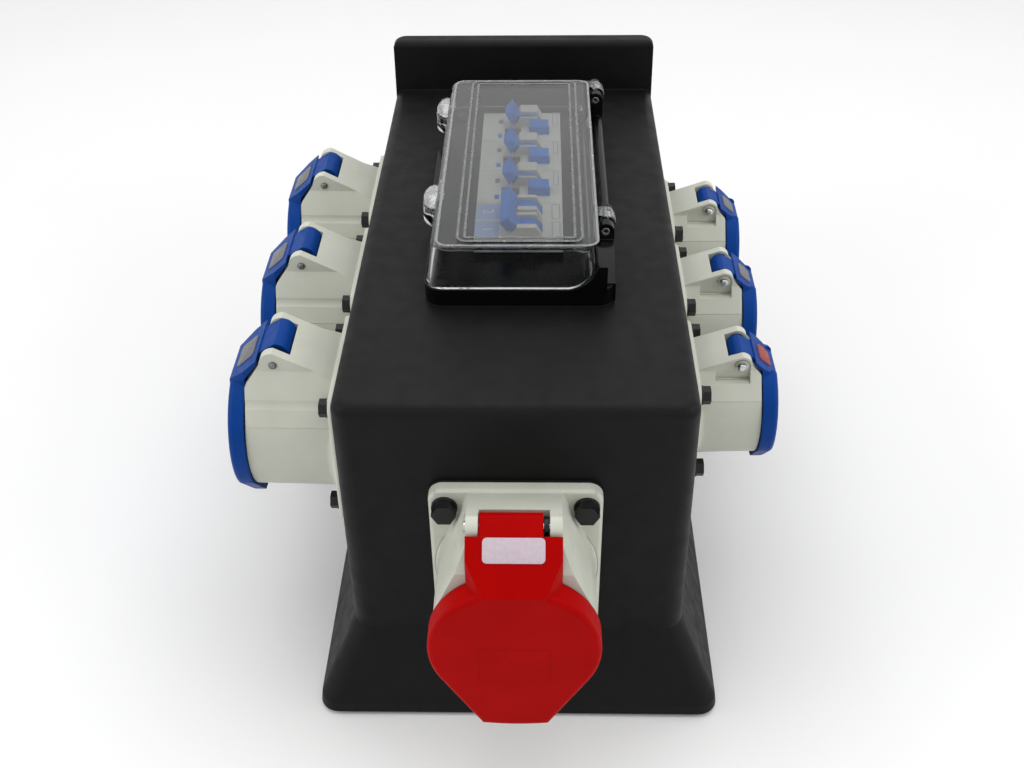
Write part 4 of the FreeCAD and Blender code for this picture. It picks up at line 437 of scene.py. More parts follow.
def blackened_finish(name):
    colours = bpy.context.scene.power_box_colours
    finish = Finish(name, colours.bolt, roughness=0.38, Specular_IOR_Level=0.3)
    finish.soft_edges(radius=0.4 * MM)
    finish.grain(size=0.5 * MM, depth=0.02 * MM)
    finish.mottle(size=3 * MM, share=0.4, strength=0.8)
    # paler edges: partly wear, partly painted highlight
    finish.rubbed_and_highlit_edges(radius=0.4 * MM, other=colours.rubber_edge_wear_and_highlight, amount=0.6)
    finish.polish(size=2 * MM, low=0.32, high=0.46)
    return finish.material


def clear_finish():
    # its tint, darker than clear plastic, also paints shade on the breakers seen through it
    finish = Finish(
        "clear_polycarbonate", SMOKE_AND_SHADE_TINT, roughness=0.03, Transmission_Weight=1.0, IOR=POLYCARBONATE_IOR
    )
    finish.soft_edges(radius=0.8 * MM)
    finish.grain(size=14 * MM, depth=0.02 * MM, strength=0.08)
    finish.polish(size=12 * MM, low=0.015, high=0.06)
    finish.glancing_shine(facing=0.02, glancing=0.8)
    finish.let_lamps_through()
    return finish.material


def hazy_and_highlit_clear_finish(name, clearness, spots):
    """Clear plastic that is a little hazy, as on the cover's edges and bosses; its whiteness is partly a painted
    highlight.
    """
    finish = Finish(name, HAZE_AND_HIGHLIGHT_TINT, roughness=0.2, Transmission_Weight=clearness, IOR=POLYCARBONATE_IOR)
    finish.grain(size=spots, depth=0.03 * MM, strength=0.3)
    finish.polish(size=4 * MM, low=0.12, high=0.3)
    finish.let_lamps_through()
    return finish.material


def printed_finish(name, base):
    """A bare printed plate: flat colour with faint fibres and scuffs."""
    finish = Finish(name, base, roughness=0.42, Specular_IOR_Level=0.25)
    finish.mottle(size=1.5 * MM, share=0.12, strength=0.7)
    finish.grain(size=0.3 * MM, depth=0.01 * MM)
    finish.polish(size=3 * MM, low=0.34, high=0.5)
    return finish.material


def paint(names, material):
    for name in names:
        mesh = NODES[name].data
        mesh.materials.clear()
        mesh.materials.append(material)


# Modelling
def deselect():
    if bpy.context.mode != "OBJECT":
        bpy.ops.object.mode_set(mode="OBJECT")
    bpy.ops.object.select_all(action="DESELECT")


def named(name):
    """The object that was added last, under its name."""
    piece = bpy.context.object
    piece.name = name
    piece.data.name = name
    return piece


def apply_place():
    bpy.ops.object.transform_apply(location=True, rotation=True, scale=True)


def edit_all():
    bpy.ops.object.mode_set(mode="EDIT")
    bpy.ops.mesh.select_all(action="SELECT")


def smooth(sharp=SMOOTH_ANGLE):
    """Leaves edit mode and shades smooth all edges but the sharp ones."""
    bpy.ops.object.mode_set(mode="OBJECT")
    bpy.ops.object.shade_smooth_by_angle(angle=sharp)


def soften(piece, width):
    """Rounds all edges of a piece a little."""
    soft = piece.modifiers.new("soft", "BEVEL")
    soft.width = width
    soft.segments = EDGE_STEPS
    bpy.ops.object.modifier_apply(modifier=soft.name)


def pick_edges(piece, chosen):
    """Selects, in edit mode, the edges whose two ends satisfy chosen."""
    bpy.ops.object.mode_set(mode="EDIT")
    bpy.ops.mesh.select_mode(type="EDGE")
    bpy.ops.mesh.select_all(action="DESELECT")
    bpy.ops.object.mode_set(mode="OBJECT")
    corners = piece.data.vertices
    for edge in piece.data.edges:
        first, second = (corners[index].co for index in edge.vertices)
        edge.select = chosen(first, second)
    bpy.ops.object.mode_set(mode="EDIT")


def lay(piece, spot, across, up):
    """Lays a piece that was made in XY on a surface: its X along across, its Y along up."""
    normal = across.cross(up).normalized()
    turn = Matrix((across.normalized(), up.normalized(), normal)).transposed().to_4x4()
    piece.matrix_world = Matrix.Translation(spot) @ turn
    deselect()
    piece.select_set(True)
    bpy.context.view_layer.objects.active = piece
    apply_place()


def fix(piece, material, body):
    """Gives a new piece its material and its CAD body."""
    piece.data.materials.clear()
    piece.data.materials.append(material)
    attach(piece, body)


def copy_of(piece, name):
    """A copy with a mesh of its own."""
    twin = piece.copy()
    twin.data = piece.data.copy()
    twin.name = name
    twin.data.name = name
    bpy.context.scene.collection.objects.link(twin)
    return twin


def remove(*pieces):
    for piece in pieces:
        bpy.data.objects.remove(piece, do_unlink=True)


def new_plate(name, width, height, thickness, corner):
    """A thin plate with round corners and soft front edges; its back lies on XY, its middle at the origin."""
    deselect()
    bpy.ops.mesh.primitive_cube_add(size=1, location=(0, 0, thickness / 2))
    plate = named(name)
    bpy.ops.transform.resize(value=(width, height, thickness))
    apply_place()
    pick_edges(plate, lambda a, b: abs(a.z - b.z) > thickness / 2)
    bpy.ops.mesh.bevel(offset=corner, segments=CORNER_STEPS, affect="EDGES")
    pick_edges(plate, lambda a, b: min(a.z, b.z) > thickness / 2)
    bpy.ops.mesh.bevel(offset=PLATE_EDGE * thickness, segments=EDGE_STEPS, affect="EDGES")
    smooth()
    return plate


def new_frame(name, width, height, line, thickness, corner):
    """A flat frame with round corners; its back lies on XY, its middle at the origin."""
    deselect()
    bpy.ops.mesh.primitive_plane_add(size=1)
    ring = named(name)
    bpy.ops.transform.resize(value=(width, height, 1))
    apply_place()
    edit_all()
    if corner:
        bpy.ops.mesh.bevel(offset=corner, segments=CORNER_STEPS, affect="VERTICES")
        bpy.ops.mesh.select_all(action="SELECT")
    bpy.ops.mesh.inset(thickness=line)
    bpy.ops.mesh.delete(type="FACE")
    bpy.ops.object.mode_set(mode="OBJECT")
    thick = ring.modifiers.new("thick", "SOLIDIFY")
    thick.thickness = thickness
    thick.offset = 1
    bpy.ops.object.modifier_apply(modifier=thick.name)
    soften(ring, FRAME_EDGE * min(line, thickness))
    smooth()
    return ring


def new_dome(name, radius):
    """A low dome on XY."""
    segments, rings = DOME_STEPS
    deselect()
    bpy.ops.mesh.primitive_uv_sphere_add(segments=segments, ring_count=rings, radius=radius)
    dome = named(name)
    edit_all()
    bpy.ops.mesh.bisect(plane_co=(0, 0, 0), plane_no=(0, 0, 1), use_fill=True, clear_inner=True)
    bpy.ops.mesh.select_all(action="SELECT")
    bpy.ops.transform.resize(value=(1, 1, DOME_FLATNESS))
    smooth()
    return dome


def new_curved_pad(name, radius, thickness, length, start, sweep):
    """A pad bent round Y at the origin; its angles run from X towards Z."""
    deselect()
    bpy.ops.mesh.primitive_plane_add(size=1)
    pad = named(name)
    bpy.ops.transform.resize(value=(thickness, length, 1))
    apply_place()
    outward = Vector((math.cos(start), 0, math.sin(start)))
    lay(pad, radius * outward, outward, BACK)
    edit_all()
    bpy.ops.mesh.spin(steps=PAD_STEPS, angle=-sweep, center=(0, 0, 0), axis=(0, 1, 0))
    bpy.ops.mesh.select_all(action="SELECT")
    bpy.ops.mesh.remove_doubles(threshold=TOLERANCE)
    bpy.ops.mesh.normals_make_consistent(inside=False)
    bpy.ops.object.mode_set(mode="OBJECT")
    soften(pad, PAD_EDGE * thickness)
    smooth()
    return pad


def new_blend(name, inner, outer, length, sweep):
    """A strip on a round tube about Z that fills the step under a ledge and runs out along the tube.

    inner and outer are the ledge's corners in XY: the first lies on the tube, and the strip ends a sweep below it.
    """
    end = Vector((*(Matrix.Rotation(-sweep, 2) @ inner), 0))
    inward = -end.normalized()
    chord = Vector((*outer, 0)) - end
    radius = chord.length_squared / (2 * chord.dot(inward))
    away = (Vector((*inner, 0)) - end).cross(UP).normalized()
    deselect()
    bpy.ops.mesh.primitive_cylinder_add(
        vertices=BLEND_STEPS, radius=radius, depth=length, location=end + inward * radius
    )
    strip = named(name)
    apply_place()
    edit_all()
    bpy.ops.mesh.bisect(
        plane_co=(*inner, 0), plane_no=(0, 1, 0), use_fill=True, clear_outer=True, threshold=TOLERANCE
    )
    bpy.ops.mesh.select_all(action="SELECT")
    bpy.ops.mesh.bisect(plane_co=end, plane_no=away, use_fill=True, clear_inner=True, threshold=TOLERANCE)
    bpy.ops.mesh.select_all(action="SELECT")
    bpy.ops.mesh.normals_make_consistent(inside=False)
    smooth(BLEND_SMOOTH_ANGLE)
    return strip


def new_digit(name, sign, height, thickness):
    """A plain number in XY with its middle at the origin."""
    deselect()
    bpy.ops.object.text_add()
    text = bpy.context.object.data
    text.body = sign
    text.size = height
    text.extrude = thickness / 2
    text.align_x = "CENTER"
    text.align_y = "CENTER"
    bpy.ops.object.convert(target="MESH")
    digit = named(name)
    edit_all()
    bpy.ops.mesh.remove_doubles(threshold=TOLERANCE)
    bpy.ops.transform.translate(value=(0, 0, thickness / 2))
    bpy.ops.object.mode_set(mode="OBJECT")
    return digit


# Places on the CAD pieces
def looks_up(normal):
    return normal.z > SQUARE_ON


def looks_down(normal):
    return normal.z < -SQUARE_ON


def joint(name):
    return next(row for row in frame["joints"] if row["name"] == name)


def side_of(socket):
    """The direction in which a socket looks out of the box."""
    return OUTWARD[socket.split("_")[0]]


def barrel_of(socket):
    """The node that holds a socket's barrel; those of one side are one node."""
    return f"{socket.rsplit('_', 1)[0]}_barrels" if socket in SIDE_SOCKETS else f"{socket}_barrel"


def middle_of(node):
    low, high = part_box(node)
    return (low + high) / 2


def flat_faces(node, chosen):
    """The flat faces of a node whose normal satisfies chosen: a list of polygons and an area for each."""
    corners = NODES[node].data.vertices
    faces = {}
    for polygon in NODES[node].data.polygons:
        if chosen(polygon.normal):
            depth = round(polygon.normal.dot(corners[polygon.vertices[0]].co) / SAME_PLANE)
            faces.setdefault((*(round(part, 2) for part in polygon.normal), depth), []).append(polygon)
    if not faces:
        raise RuntimeError(f"{node} has no such face")
    return [(group, sum(polygon.area for polygon in group)) for group in faces.values()]


def largest_flat(node, chosen):
    return max(flat_faces(node, chosen), key=lambda face: face[1])[0]


def reach(node, group, direction):
    """Least and greatest distance of a flat face's corners along a direction."""
    corners = NODES[node].data.vertices
    spots = [corners[index].co.dot(direction) for polygon in group for index in polygon.vertices]
    return min(spots), max(spots)


def span(node, group, direction):
    low, high = reach(node, group, direction)
    return high - low


def level_face(node, group):
    """Middle, width and depth of a flat face that looks up."""
    left, right = reach(node, group, RIGHT)
    front, rear = reach(node, group, BACK)
    middle = Vector(((left + right) / 2, (front + rear) / 2, reach(node, group, UP)[1]))
    return middle, right - left, rear - front


def flat_top(node):
    """Height of the highest large face of a node that looks up."""
    faces = flat_faces(node, looks_up)
    least = LARGE_SHARE * max(area for group, area in faces)
    return max(reach(node, group, UP)[1] for group, area in faces if area > least)


def stretches(node, chosen, axis, gap):
    """The stretches along an axis that a node's chosen corners fill, split where they are a gap apart."""
    spots = sorted(getattr(corner.co, axis) for corner in NODES[node].data.vertices if chosen(corner.co))
    found = [[spots[0], spots[0]]]
    for spot in spots:
        if spot - found[-1][1] > gap:
            found.append([spot, spot])
        found[-1][1] = spot
    return found


def sloping_neck(socket):
    """The neck of a socket's lid: the middle of its slope, across, up, and half its length along the slope."""
    node = f"{socket}_lid"
    outward = side_of(socket)
    group = largest_flat(node, lambda normal: normal.dot(outward) > LEAST_LEAN and normal.z > LEAST_LEAN)
    normal = group[0].normal.copy()
    across = UP.cross(outward).normalized()
    up = normal.cross(across)
    low, high = reach(node, group, up)
    left, right = reach(node, group, across)
    depth = reach(node, group, normal)[1]
    middle = across * (left + right) / 2 + up * (low + high) / 2 + normal * depth
    return middle, across, up, (high - low) / 2


def barrel_axis(socket):
    """The middle of a barrel's mouth and the direction of its axis."""
    housing = f"{socket}_housing"
    outward = side_of(socket)
    level = UP.cross(outward)
    low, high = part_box(housing)
    middle = (low + high) / 2
    half = abs((high - low).dot(level)) / 2
    corners = [
        corner.co for corner in NODES[barrel_of(socket)].data.vertices
        if abs((corner.co - middle).dot(level)) < half
    ]
    far = max(corner.dot(outward) for corner in corners)
    heights = [corner.z for corner in corners if corner.dot(outward) > far - MOUTH_DEPTH]
    mouth = middle + outward * (far - middle.dot(outward))
    mouth.z = (min(heights) + max(heights)) / 2
    flange = largest_flat(housing, lambda normal: normal.dot(outward) > SQUARE_ON)
    return mouth, flange[0].normal.copy()


def cheek_corners(socket, across):
    """Corners of the ledge under the hinge block's cheek that lies in the direction across."""
    node = f"{socket}_housing"
    outward = side_of(socket)
    low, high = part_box(node)
    middle = (low + high) / 2
    least = abs((high - low).dot(outward)) / 2
    ledges = [
        group for group, area in flat_faces(node, looks_down)
        if reach(node, group, UP)[0] > middle.z and span(node, group, outward) > least
    ]
    ledge = max(ledges, key=lambda group: reach(node, group, across)[1])
    return [
        NODES[node].data.vertices[index].co
        for polygon in ledge if polygon.center.dot(across) > middle.dot(across)
        for index in polygon.vertices
    ]


def cheek_ledge(socket, side):
    """Where a hinge block's cheek ends on the barrel: a spot on the barrel's axis, across, up, the ledge's inner
    and outer corner seen along the axis, and its length."""
    across = UP.cross(side_of(socket)) * side
    corners = cheek_corners(socket, across)
    mouth, axis = barrel_axis(socket)
    up = (UP - axis * axis.z).normalized()
    along = [(corner - mouth).dot(axis) for corner in corners]
    spot = mouth + axis * (min(along) + max(along)) / 2
    flat = [Vector(((corner - spot).dot(across), (corner - spot).dot(up))) for corner in corners]
    height = sum(place.y for place in flat) / len(flat)
    inner = Vector((min(place.x for place in flat), height))
    outer = Vector((max(place.x for place in flat), height))
    return spot, across, up, inner, outer, max(along) - min(along)


# Steps
class PowerBoxOperator(bpy.types.Operator):
    """A step that builds a part of the box's looks"""
    bl_options = {"REGISTER", "UNDO"}


class POWERBOX_OT_enclosure(PowerBoxOperator):
    """Finishes the rubber enclosure, its base and its gaskets"""
    bl_idname = "power_box.enclosure"
    bl_label = "Enclosure"

    def execute(self, context):
        colours = context.scene.power_box_colours
        paint(["enclosure"], rubber_finish())
        soft = dull_rubber_finish()
        paint(["flange_gaskets", "window_gasket"], soft)
        paint([f"{socket}_seal" for socket in SOCKETS], soft)
        paint(["base_plate"], moulded_finish("base_sheet", colours.rubber, rough=0.6, dust_and_highlight=0.05))
        paint(["base_screws"], metal_finish("screw_steel", colours.steel, rough=0.32, streak=0.4 * MM))
        paint(["window_screws"], blackened_finish("blackened_screws"))
        return {"FINISHED"}


class POWERBOX_OT_sockets(PowerBoxOperator):
    """Finishes the sockets, their lids, contacts and bolts, and the inlet"""
    bl_idname = "power_box.sockets"
    bl_label = "Sockets"

    def execute(self, context):
        colours = context.scene.power_box_colours
        sizes = context.scene.power_box_sizes
        grey = moulded_finish("socket_grey", colours.housing, rough=0.4, dust_and_highlight=0.25)
        paint([f"{socket}_housing" for socket in SOCKETS], grey)
        paint([barrel_of(socket) for socket in SOCKETS], grey)
        paint(["inlet_flange"], grey)
        blue = moulded_finish("lid_blue", colours.lid_blue, rough=0.42, dust_and_highlight=0.05, shine=0.09)
        paint([f"{socket}_lid" for socket in SIDE_SOCKETS], blue)
        # the red lid's moulded field, whose outline is darkened as painted shade
        middle = middle_of(barrel_of(FRONT_SOCKET)) - UP * sizes.face_field_drop
        field = (middle, sizes.face_field_width, sizes.face_field_height, sizes.face_field_line)
        red = moulded_finish("lid_red", colours.lid_red, rough=0.42, dust_and_highlight=0.03, shine=0.03, field=field)
        paint([f"{FRONT_SOCKET}_lid"], red)
        paint(["inlet_shroud"], moulded_finish("inlet_red", colours.lid_red, rough=0.42, dust_and_highlight=0.03, shine=0.06))
        dark = moulded_finish("carrier_grey", colours.carrier, rough=0.5, dust_and_highlight=0.1)
        paint([name for name in NODES if "carrier" in name], dark)
        brass = metal_finish("contact_brass", colours.brass, rough=0.26, streak=0.5 * MM)
        paint(["contact_sleeves", "inlet_pins", "neutral_bar", "earth_bar"], brass)
        paint(["flange_bolts", "lid_springs"], blackened_finish("blackened_steel"))
        paint(["lid_pins"], metal_finish("pin_steel", colours.steel, rough=0.22, streak=0.4 * MM))
        return {"FINISHED"}


class POWERBOX_OT_window(PowerBoxOperator):
    """Finishes the window frame, its clear cover and its hinge pins"""
    bl_idname = "power_box.window"
    bl_label = "Window"

    def execute(self, context):
        colours = context.scene.power_box_colours
        paint(["window_frame"], glossy_black_finish())
        paint([COVER], clear_finish())
        paint(["window_hinge_pins"], metal_finish("hinge_steel", colours.steel, rough=0.2, streak=0.4 * MM))
        return {"FINISHED"}


class POWERBOX_OT_breakers(PowerBoxOperator):
    """Finishes the breakers, their levers and buttons, and what carries them"""
    bl_idname = "power_box.breakers"
    bl_label = "Breakers"

    def execute(self, context):
        colours = context.scene.power_box_colours
        white = moulded_finish("breaker_white", colours.breaker, rough=0.45, dust_and_highlight=0.2)
        paint(RCBO_CASES + [MCB_CASE], white)
        blue = moulded_finish("breaker_blue", colours.breaker_blue, rough=0.38, dust_and_highlight=0.06)
        paint(["mcb_lever"] + [f"rcbo_lever_{number}" for number in RCBO_NUMBERS], blue)
        paint([f"test_button_{number}" for number in RCBO_NUMBERS], blue)
        zinc = metal_finish("rail_zinc", colours.steel, rough=0.4, streak=0.8 * MM)
        paint(["din_rail", "rail_brackets"], zinc)
        paint(["bar_insulators"], moulded_finish("insulator_red", colours.insulator, rough=0.5, dust_and_highlight=0.1))
        return {"FINISHED"}


class POWERBOX_OT_lid_plates(PowerBoxOperator):
    """Adds the bare plates on the lids' necks"""
    bl_idname = "power_box.lid_plates"
    bl_label = "Lid plates"

    def execute(self, context):
        colours = context.scene.power_box_colours
        sizes = context.scene.power_box_sizes
        pale = printed_finish("plate_pale", colours.plate_pale)
        grey = printed_finish("plate_grey", colours.plate_grey)
        rust = printed_finish("plate_rust", colours.plate_rust)
        kinds = (
            ([FRONT_SOCKET], [pale], sizes.red_plate_width, sizes.red_plate_height),
            (LEFT_SOCKETS, [grey, grey, grey], sizes.large_plate_width, sizes.large_plate_height),
            (RIGHT_SOCKETS, [rust, grey, grey], sizes.small_plate_width, sizes.small_plate_height),
        )
        for sockets, materials, width, height in kinds:
            pattern = new_plate("lid_plate", width, height, sizes.plate_thickness, sizes.plate_corner)
            for socket, material in zip(sockets, materials):
                plate = copy_of(pattern, f"{socket}_lid_plate")
                spot, across, up, half = sloping_neck(socket)
                if socket == FRONT_SOCKET:
                    spot += up * (half - height / 2 - sizes.plate_thickness)
                lay(plate, spot, across, up)
                fix(plate, material, f"{socket}_flap")
            remove(pattern)
        return {"FINISHED"}


class POWERBOX_OT_cheek_blends(PowerBoxOperator):
    """Adds the blends that carry the hinge blocks' cheeks smoothly into the barrels"""
    bl_idname = "power_box.cheek_blends"
    bl_label = "Cheek blends"

    def execute(self, context):
        sweep = context.scene.power_box_sizes.blend_sweep
        colours = context.scene.power_box_colours
        grey = moulded_finish("blend_grey", colours.housing, rough=0.4, dust_and_highlight=0.25, thin=True)
        for sockets in (LEFT_SOCKETS, RIGHT_SOCKETS, [FRONT_SOCKET]):
            inner, outer, length = cheek_ledge(sockets[0], 1)[3:]
            pattern = new_blend("cheek_blend", inner, outer, length, sweep)
            for socket in sockets:
                for number, side in ((1, -1), (2, 1)):
                    blend = copy_of(pattern, f"{socket}_blend_{number}")
                    lay(blend, *cheek_ledge(socket, side)[:3])
                    fix(blend, grey, "box")
            remove(pattern)
        return {"FINISHED"}


class POWERBOX_OT_pin_ends(PowerBoxOperator):
    """Adds a low dome to both ends of each side socket's lid pin"""
    bl_idname = "power_box.pin_ends"
    bl_label = "Pin ends"

    def execute(self, context):
        sizes = context.scene.power_box_sizes
        colours = context.scene.power_box_colours
        head = new_dome("pin_dome", sizes.pin_dome)
        end = new_dome("pin_end", sizes.pin_end)
        bright = NODES["lid_pins"].data.materials[0]
        dull = metal_finish("dull_steel", colours.pin_end, rough=0.38, streak=0.4 * MM)
        corners = [corner.co for corner in NODES["lid_pins"].data.vertices]
        for socket in SIDE_SOCKETS:
            row = joint(f"{socket}_lid_hinge")
            centre = Vector(row["pos_m"])
            axis = Vector(row["axis"])
            along = [
                (corner - centre).dot(axis) for corner in corners
                if (corner - centre).cross(axis).length < PIN_REACH and (corner - centre).length < PIN_HALF
            ]
            for sign, far in ((-1, -min(along)), (1, max(along))):
                is_head = far > (max(along) - min(along)) / 2
                kind, pattern, material = ("head", head, bright) if is_head else ("end", end, dull)
                dome = copy_of(pattern, f"{socket}_pin_{kind}")
                lay(dome, centre + axis * sign * far, UP * sign, axis.cross(UP))
                fix(dome, material, "box")
        remove(head, end)
        return {"FINISHED"}


class POWERBOX_OT_breaker_marks(PowerBoxOperator):
    """Adds the status inserts, the small marks, the blank label fields and the number tiles"""
    bl_idname = "power_box.breaker_marks"
    bl_label = "Breaker marks"

    def execute(self, context):
        colours = context.scene.power_box_colours
        sizes = context.scene.power_box_sizes
        line = printed_finish("label_line", colours.line_blue)
        self.mark_rcbos(colours, sizes, line)
        self.mark_mcb(colours, sizes, line)
        return {"FINISHED"}

    def put(self, piece, material, case, across, along, rise=0, turned=False):
        """Lays a piece on a breaker's top, so much across the box and along from the breaker's middle."""
        spot = Vector((across, middle_of(case).y + along, flat_top(case) + rise))
        lay(piece, spot, *((-BACK, RIGHT) if turned else (RIGHT, BACK)))
        fix(piece, material, "box")

    def mark_rcbos(self, colours, sizes, line):
        thin = sizes.print_thickness
        status = printed_finish("status_insert", colours.status)
        grey = printed_finish("mark_grey", colours.mark_grey)
        blue = NODES["test_button_1"].data.materials[0]
        insert = new_plate("status_insert", sizes.status_width, sizes.status_length, thin, 2 * thin)
        mark = new_plate("mark", sizes.mark_width, sizes.mark_length, thin, thin)
        field = new_frame("label_field", sizes.label_width, sizes.label_length, sizes.label_line, thin / 2, 0)
        for number, case in zip(RCBO_NUMBERS, RCBO_CASES):
            for pattern, name, material, across, along, rise in (
                (insert, "status_insert", status, sizes.status_across, sizes.status_along, -sizes.status_depth),
                (mark, "far_mark", grey, sizes.mark_across, sizes.far_mark_along, 0),
                (mark, "near_mark", blue, sizes.mark_across, sizes.near_mark_along, 0),
                (field, "label_field", line, sizes.label_across, sizes.label_along, 0),
            ):
                self.put(copy_of(pattern, f"{name}_{number}"), material, case, across, along, rise)
        remove(insert, mark, field)

    def mark_mcb(self, colours, sizes, line):
        thin = sizes.print_thickness
        blue = printed_finish("number_tile", colours.tile)
        ink = printed_finish("number_ink", colours.number)
        field = new_frame(
            "pole_field", sizes.pole_label_width, sizes.pole_label_length, sizes.label_line, thin / 2, 0
        )
        tile = new_plate("number_tile", sizes.tile_width, sizes.tile_length, thin, sizes.tile_corner)
        for pole, along in (("1", -sizes.pole_pitch / 2), ("2", sizes.pole_pitch / 2)):
            self.put(copy_of(field, f"pole_field_{pole}"), line, MCB_CASE, sizes.pole_label_across, along)
            self.put(copy_of(tile, f"number_tile_{pole}"), blue, MCB_CASE, sizes.tile_across, along)
            digit = new_digit(f"number_{pole}", pole, sizes.number_height, thin / 2)
            self.put(digit, ink, MCB_CASE, sizes.tile_across, along, rise=thin, turned=True)
        remove(field, tile)


class POWERBOX_OT_cover_ridges(PowerBoxOperator):
    """Adds the two ridges round the clear cover's raised panel and the one along its top edge; their whitish haze
    is partly a painted highlight of the cover's edges
    """
    bl_idname = "power_box.cover_ridges"
    bl_label = "Cover ridges"

    def execute(self, context):
        sizes = context.scene.power_box_sizes
        # whitish ridges: partly haze, partly painted highlight along the cover's edges
        faint = hazy_and_highlit_clear_finish("ridge_polycarbonate", clearness=0.93, spots=3 * MM)
        hazy = hazy_and_highlit_clear_finish("rim_polycarbonate", clearness=0.85, spots=0.8 * MM)
        faces = sorted(flat_faces(COVER, looks_up), key=lambda face: face[1])
        rim, panel = (group for group, area in faces[-2:])
        step = sizes.ridge_step
        for name, group, inset, corner, material in (
            ("cover_ridge_outer", panel, 0, sizes.ridge_corner, faint),
            ("cover_ridge_inner", panel, step, sizes.ridge_corner - step, faint),
            ("cover_rim", rim, 0, sizes.rim_corner, hazy),
        ):
            middle, width, depth = level_face(COVER, group)
            ridge = new_frame(
                name, width - 2 * inset, depth - 2 * inset, sizes.ridge_width, sizes.ridge_height, corner
            )
            lay(ridge, middle, RIGHT, BACK)
            fix(ridge, material, "cover")
        return {"FINISHED"}


class POWERBOX_OT_cover_bosses(PowerBoxOperator):
    """Adds the milky caps of the clear cover's hinge lugs and the thumb pads of its latches; their milkiness is
    partly a painted highlight
    """
    bl_idname = "power_box.cover_bosses"
    bl_label = "Cover bosses"

    def execute(self, context):
        sizes = context.scene.power_box_sizes
        # milky haze of the caps and pads: partly real haze, partly painted highlight
        hazy = hazy_and_highlit_clear_finish("boss_polycarbonate", clearness=0.94, spots=2 * MM)
        self.add_lug_caps(sizes, hazy)
        self.add_latch_pads(sizes, hazy)
        return {"FINISHED"}

    def add_lug_caps(self, sizes, hazy):
        pin = Vector(joint("cover_hinge")["pos_m"])
        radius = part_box(COVER)[1].x - pin.x
        lugs = stretches(COVER, lambda corner: corner.x > pin.x + radius / 2, "y", LUG_GAP * radius)
        front, rear = lugs[0]
        pattern = new_curved_pad(
            "lug_cap", radius, sizes.lug_cap, rear - front - 2 * sizes.lug_cap_inset,
            sizes.lug_cap_start, sizes.lug_cap_sweep,
        )
        for number, (front, rear) in enumerate(lugs, start=1):
            cap = copy_of(pattern, f"lug_cap_{number}")
            lay(cap, Vector((pin.x, (front + rear) / 2, pin.z)), RIGHT, BACK)
            fix(cap, hazy, "cover")
        remove(pattern)

    def add_latch_pads(self, sizes, hazy):
        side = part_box(COVER)[0].x
        half = sizes.latch_pad_width / 2
        rise = sizes.latch_pad_rise

        def on_latch(corner):
            return corner.x < side + sizes.latch_reach

        latches = stretches(COVER, on_latch, "y", sizes.latch_pad_length)
        top = stretches(COVER, on_latch, "z", sizes.latch_pad_length)[0][1]
        pattern = new_dome("latch_pad", half)
        longer = sizes.latch_pad_length / sizes.latch_pad_width
        bpy.ops.transform.resize(value=(1, longer, rise / pattern.dimensions.z))
        apply_place()
        for number, (front, rear) in enumerate(latches, start=1):
            pad = copy_of(pattern, f"latch_pad_{number}")
            lay(pad, Vector((side + half, (front + rear) / 2, top - rise / 2)), RIGHT, BACK)
            fix(pad, hazy, "cover")
        remove(pattern)


# Stage
def camera_axes(stage):
    """Right, down and forward of the photograph's camera."""
    forward = Vector((
        math.sin(stage.camera_yaw) * math.cos(stage.camera_pitch),
        math.cos(stage.camera_yaw) * math.cos(stage.camera_pitch),
        -math.sin(stage.camera_pitch),
    ))
    level = Vector((math.cos(stage.camera_yaw), -math.sin(stage.camera_yaw), 0))
    below = forward.cross(level)
    right = level * math.cos(stage.camera_roll) + below * math.sin(stage.camera_roll)
    down = below * math.cos(stage.camera_roll) - level * math.sin(stage.camera_roll)
    return right, down, forward


def add_camera(stage):
    right, down, forward = camera_axes(stage)
    bpy.ops.object.camera_add()
    camera = bpy.context.object
    turn = Matrix((right, -down, -forward)).transposed().to_4x4()
    camera.matrix_world = Matrix.Translation(stage.camera_place) @ turn
    camera.data.sensor_width = 36
    camera.data.lens = stage.camera_lens
    camera.data.clip_start = 0.01
    camera.data.clip_end = 50
    bpy.context.scene.camera = camera


def add_softbox(name, middle, target, width, depth, watts):
    bpy.ops.object.light_add(type="AREA", location=middle)
    lamp = bpy.context.object
    lamp.name = name
    lamp.data.shape = "RECTANGLE"
    lamp.data.size = width
    lamp.data.size_y = depth
    lamp.data.energy = watts
    lamp.rotation_mode = "QUATERNION"
    lamp.rotation_quaternion = (Vector(target) - Vector(middle)).to_track_quat("-Z", "Y")


def add_floor(stage):
    deselect()
    bpy.ops.mesh.primitive_plane_add(size=stage.floor_side)
    floor = named("floor")
    finish = Finish("pale_floor", stage.floor, roughness=0.8)
    finish.mottle(size=400 * MM, share=0.02, strength=1)
    floor.data.materials.append(finish.material)


def add_sky(stage):
    """White where the camera, a mirror or glass looks; a plain level of light for what is lit by it."""
    world = bpy.data.worlds.new("studio")
    bpy.context.scene.world = world
    world.use_nodes = True
    tree = NodeTree(world.node_tree)
    path = tree.add("ShaderNodeLightPath").outputs
    looking = tree.calculate("MAXIMUM", path["Is Camera Ray"], path["Is Glossy Ray"])
    looking = tree.calculate("MAXIMUM", looking, path["Is Transmission Ray"])
    before_diffuse = tree.calculate("LESS_THAN", path["Diffuse Depth"], 0.5)
    seen = tree.calculate("MULTIPLY", looking, before_diffuse)
    background = tree.nodes["Background"]
    background.inputs["Color"].default_value = (1, 1, 1, 1)
    tree.links.new(tree.between(seen, stage.sky, 1, start=0, end=1), background.inputs["Strength"])


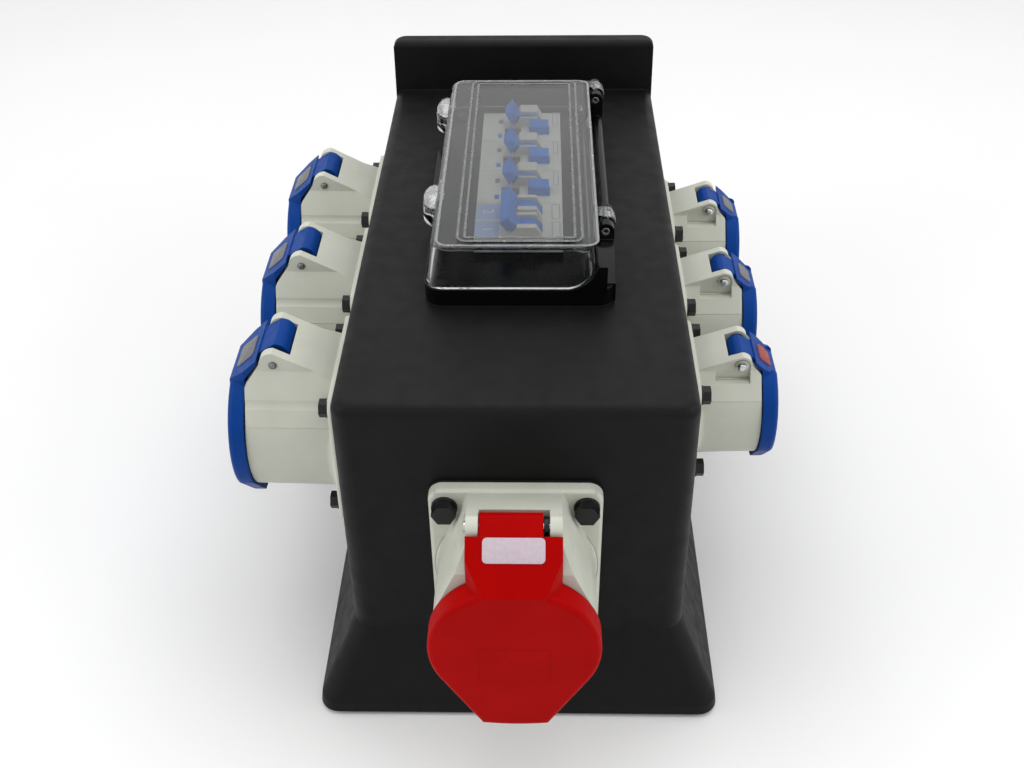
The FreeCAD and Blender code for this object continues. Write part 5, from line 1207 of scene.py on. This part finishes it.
class POWERBOX_OT_stage(PowerBoxOperator):
    """Adds the floor, the light and the photograph's camera"""
    bl_idname = "power_box.stage"
    bl_label = "Stage"

    def execute(self, context):
        stage = context.scene.power_box_stage
        deselect()
        add_floor(stage)
        add_sky(stage)
        target = stage.lamp_target
        add_softbox("softbox_above", stage.key_place, target, stage.key_width, stage.key_depth, stage.key)
        across, along, up = stage.fill_place
        for name, side in (("softbox_left", -1), ("softbox_right", 1)):
            add_softbox(name, (side * across, along, up), target, stage.fill_side, stage.fill_side, stage.fill)
        add_camera(stage)
        context.scene.view_settings.view_transform = "Standard"
        return {"FINISHED"}


OPERATORS = (
    POWERBOX_OT_enclosure,
    POWERBOX_OT_sockets,
    POWERBOX_OT_window,
    POWERBOX_OT_breakers,
    POWERBOX_OT_lid_plates,
    POWERBOX_OT_cheek_blends,
    POWERBOX_OT_pin_ends,
    POWERBOX_OT_breaker_marks,
    POWERBOX_OT_cover_ridges,
    POWERBOX_OT_cover_bosses,
    POWERBOX_OT_stage,
)


class POWERBOX_PT_panel(bpy.types.Panel):
    """Lists the steps and the sizes and colours that they use"""
    bl_idname = "POWERBOX_PT_panel"
    bl_label = "Power box"
    bl_space_type = "VIEW_3D"
    bl_region_type = "UI"
    bl_category = "Power box"

    def draw(self, context):
        column = self.layout.column()
        for operator in OPERATORS:
            column.operator(operator.bl_idname)
        for group in GROUPS:
            settings = getattr(context.scene, group)
            for name in settings.bl_rna.properties.keys():
                if name not in ("rna_type", "name"):
                    column.prop(settings, name)


GROUPS = {
    "power_box_colours": PowerBoxColours,
    "power_box_sizes": PowerBoxSizes,
    "power_box_stage": PowerBoxStage,
}
CLASSES = (*GROUPS.values(), *OPERATORS, POWERBOX_PT_panel)


def register():
    for item in CLASSES:
        bpy.utils.register_class(item)
    for name, group in GROUPS.items():
        setattr(bpy.types.Scene, name, bpy.props.PointerProperty(type=group))


def unregister():
    for name in GROUPS:
        delattr(bpy.types.Scene, name)
    for item in reversed(CLASSES):
        bpy.utils.unregister_class(item)


def main():
    register()
    for operator in OPERATORS:
        space, step = operator.bl_idname.split(".")
        getattr(getattr(bpy.ops, space), step)()


if __name__ == "__main__":
    main()
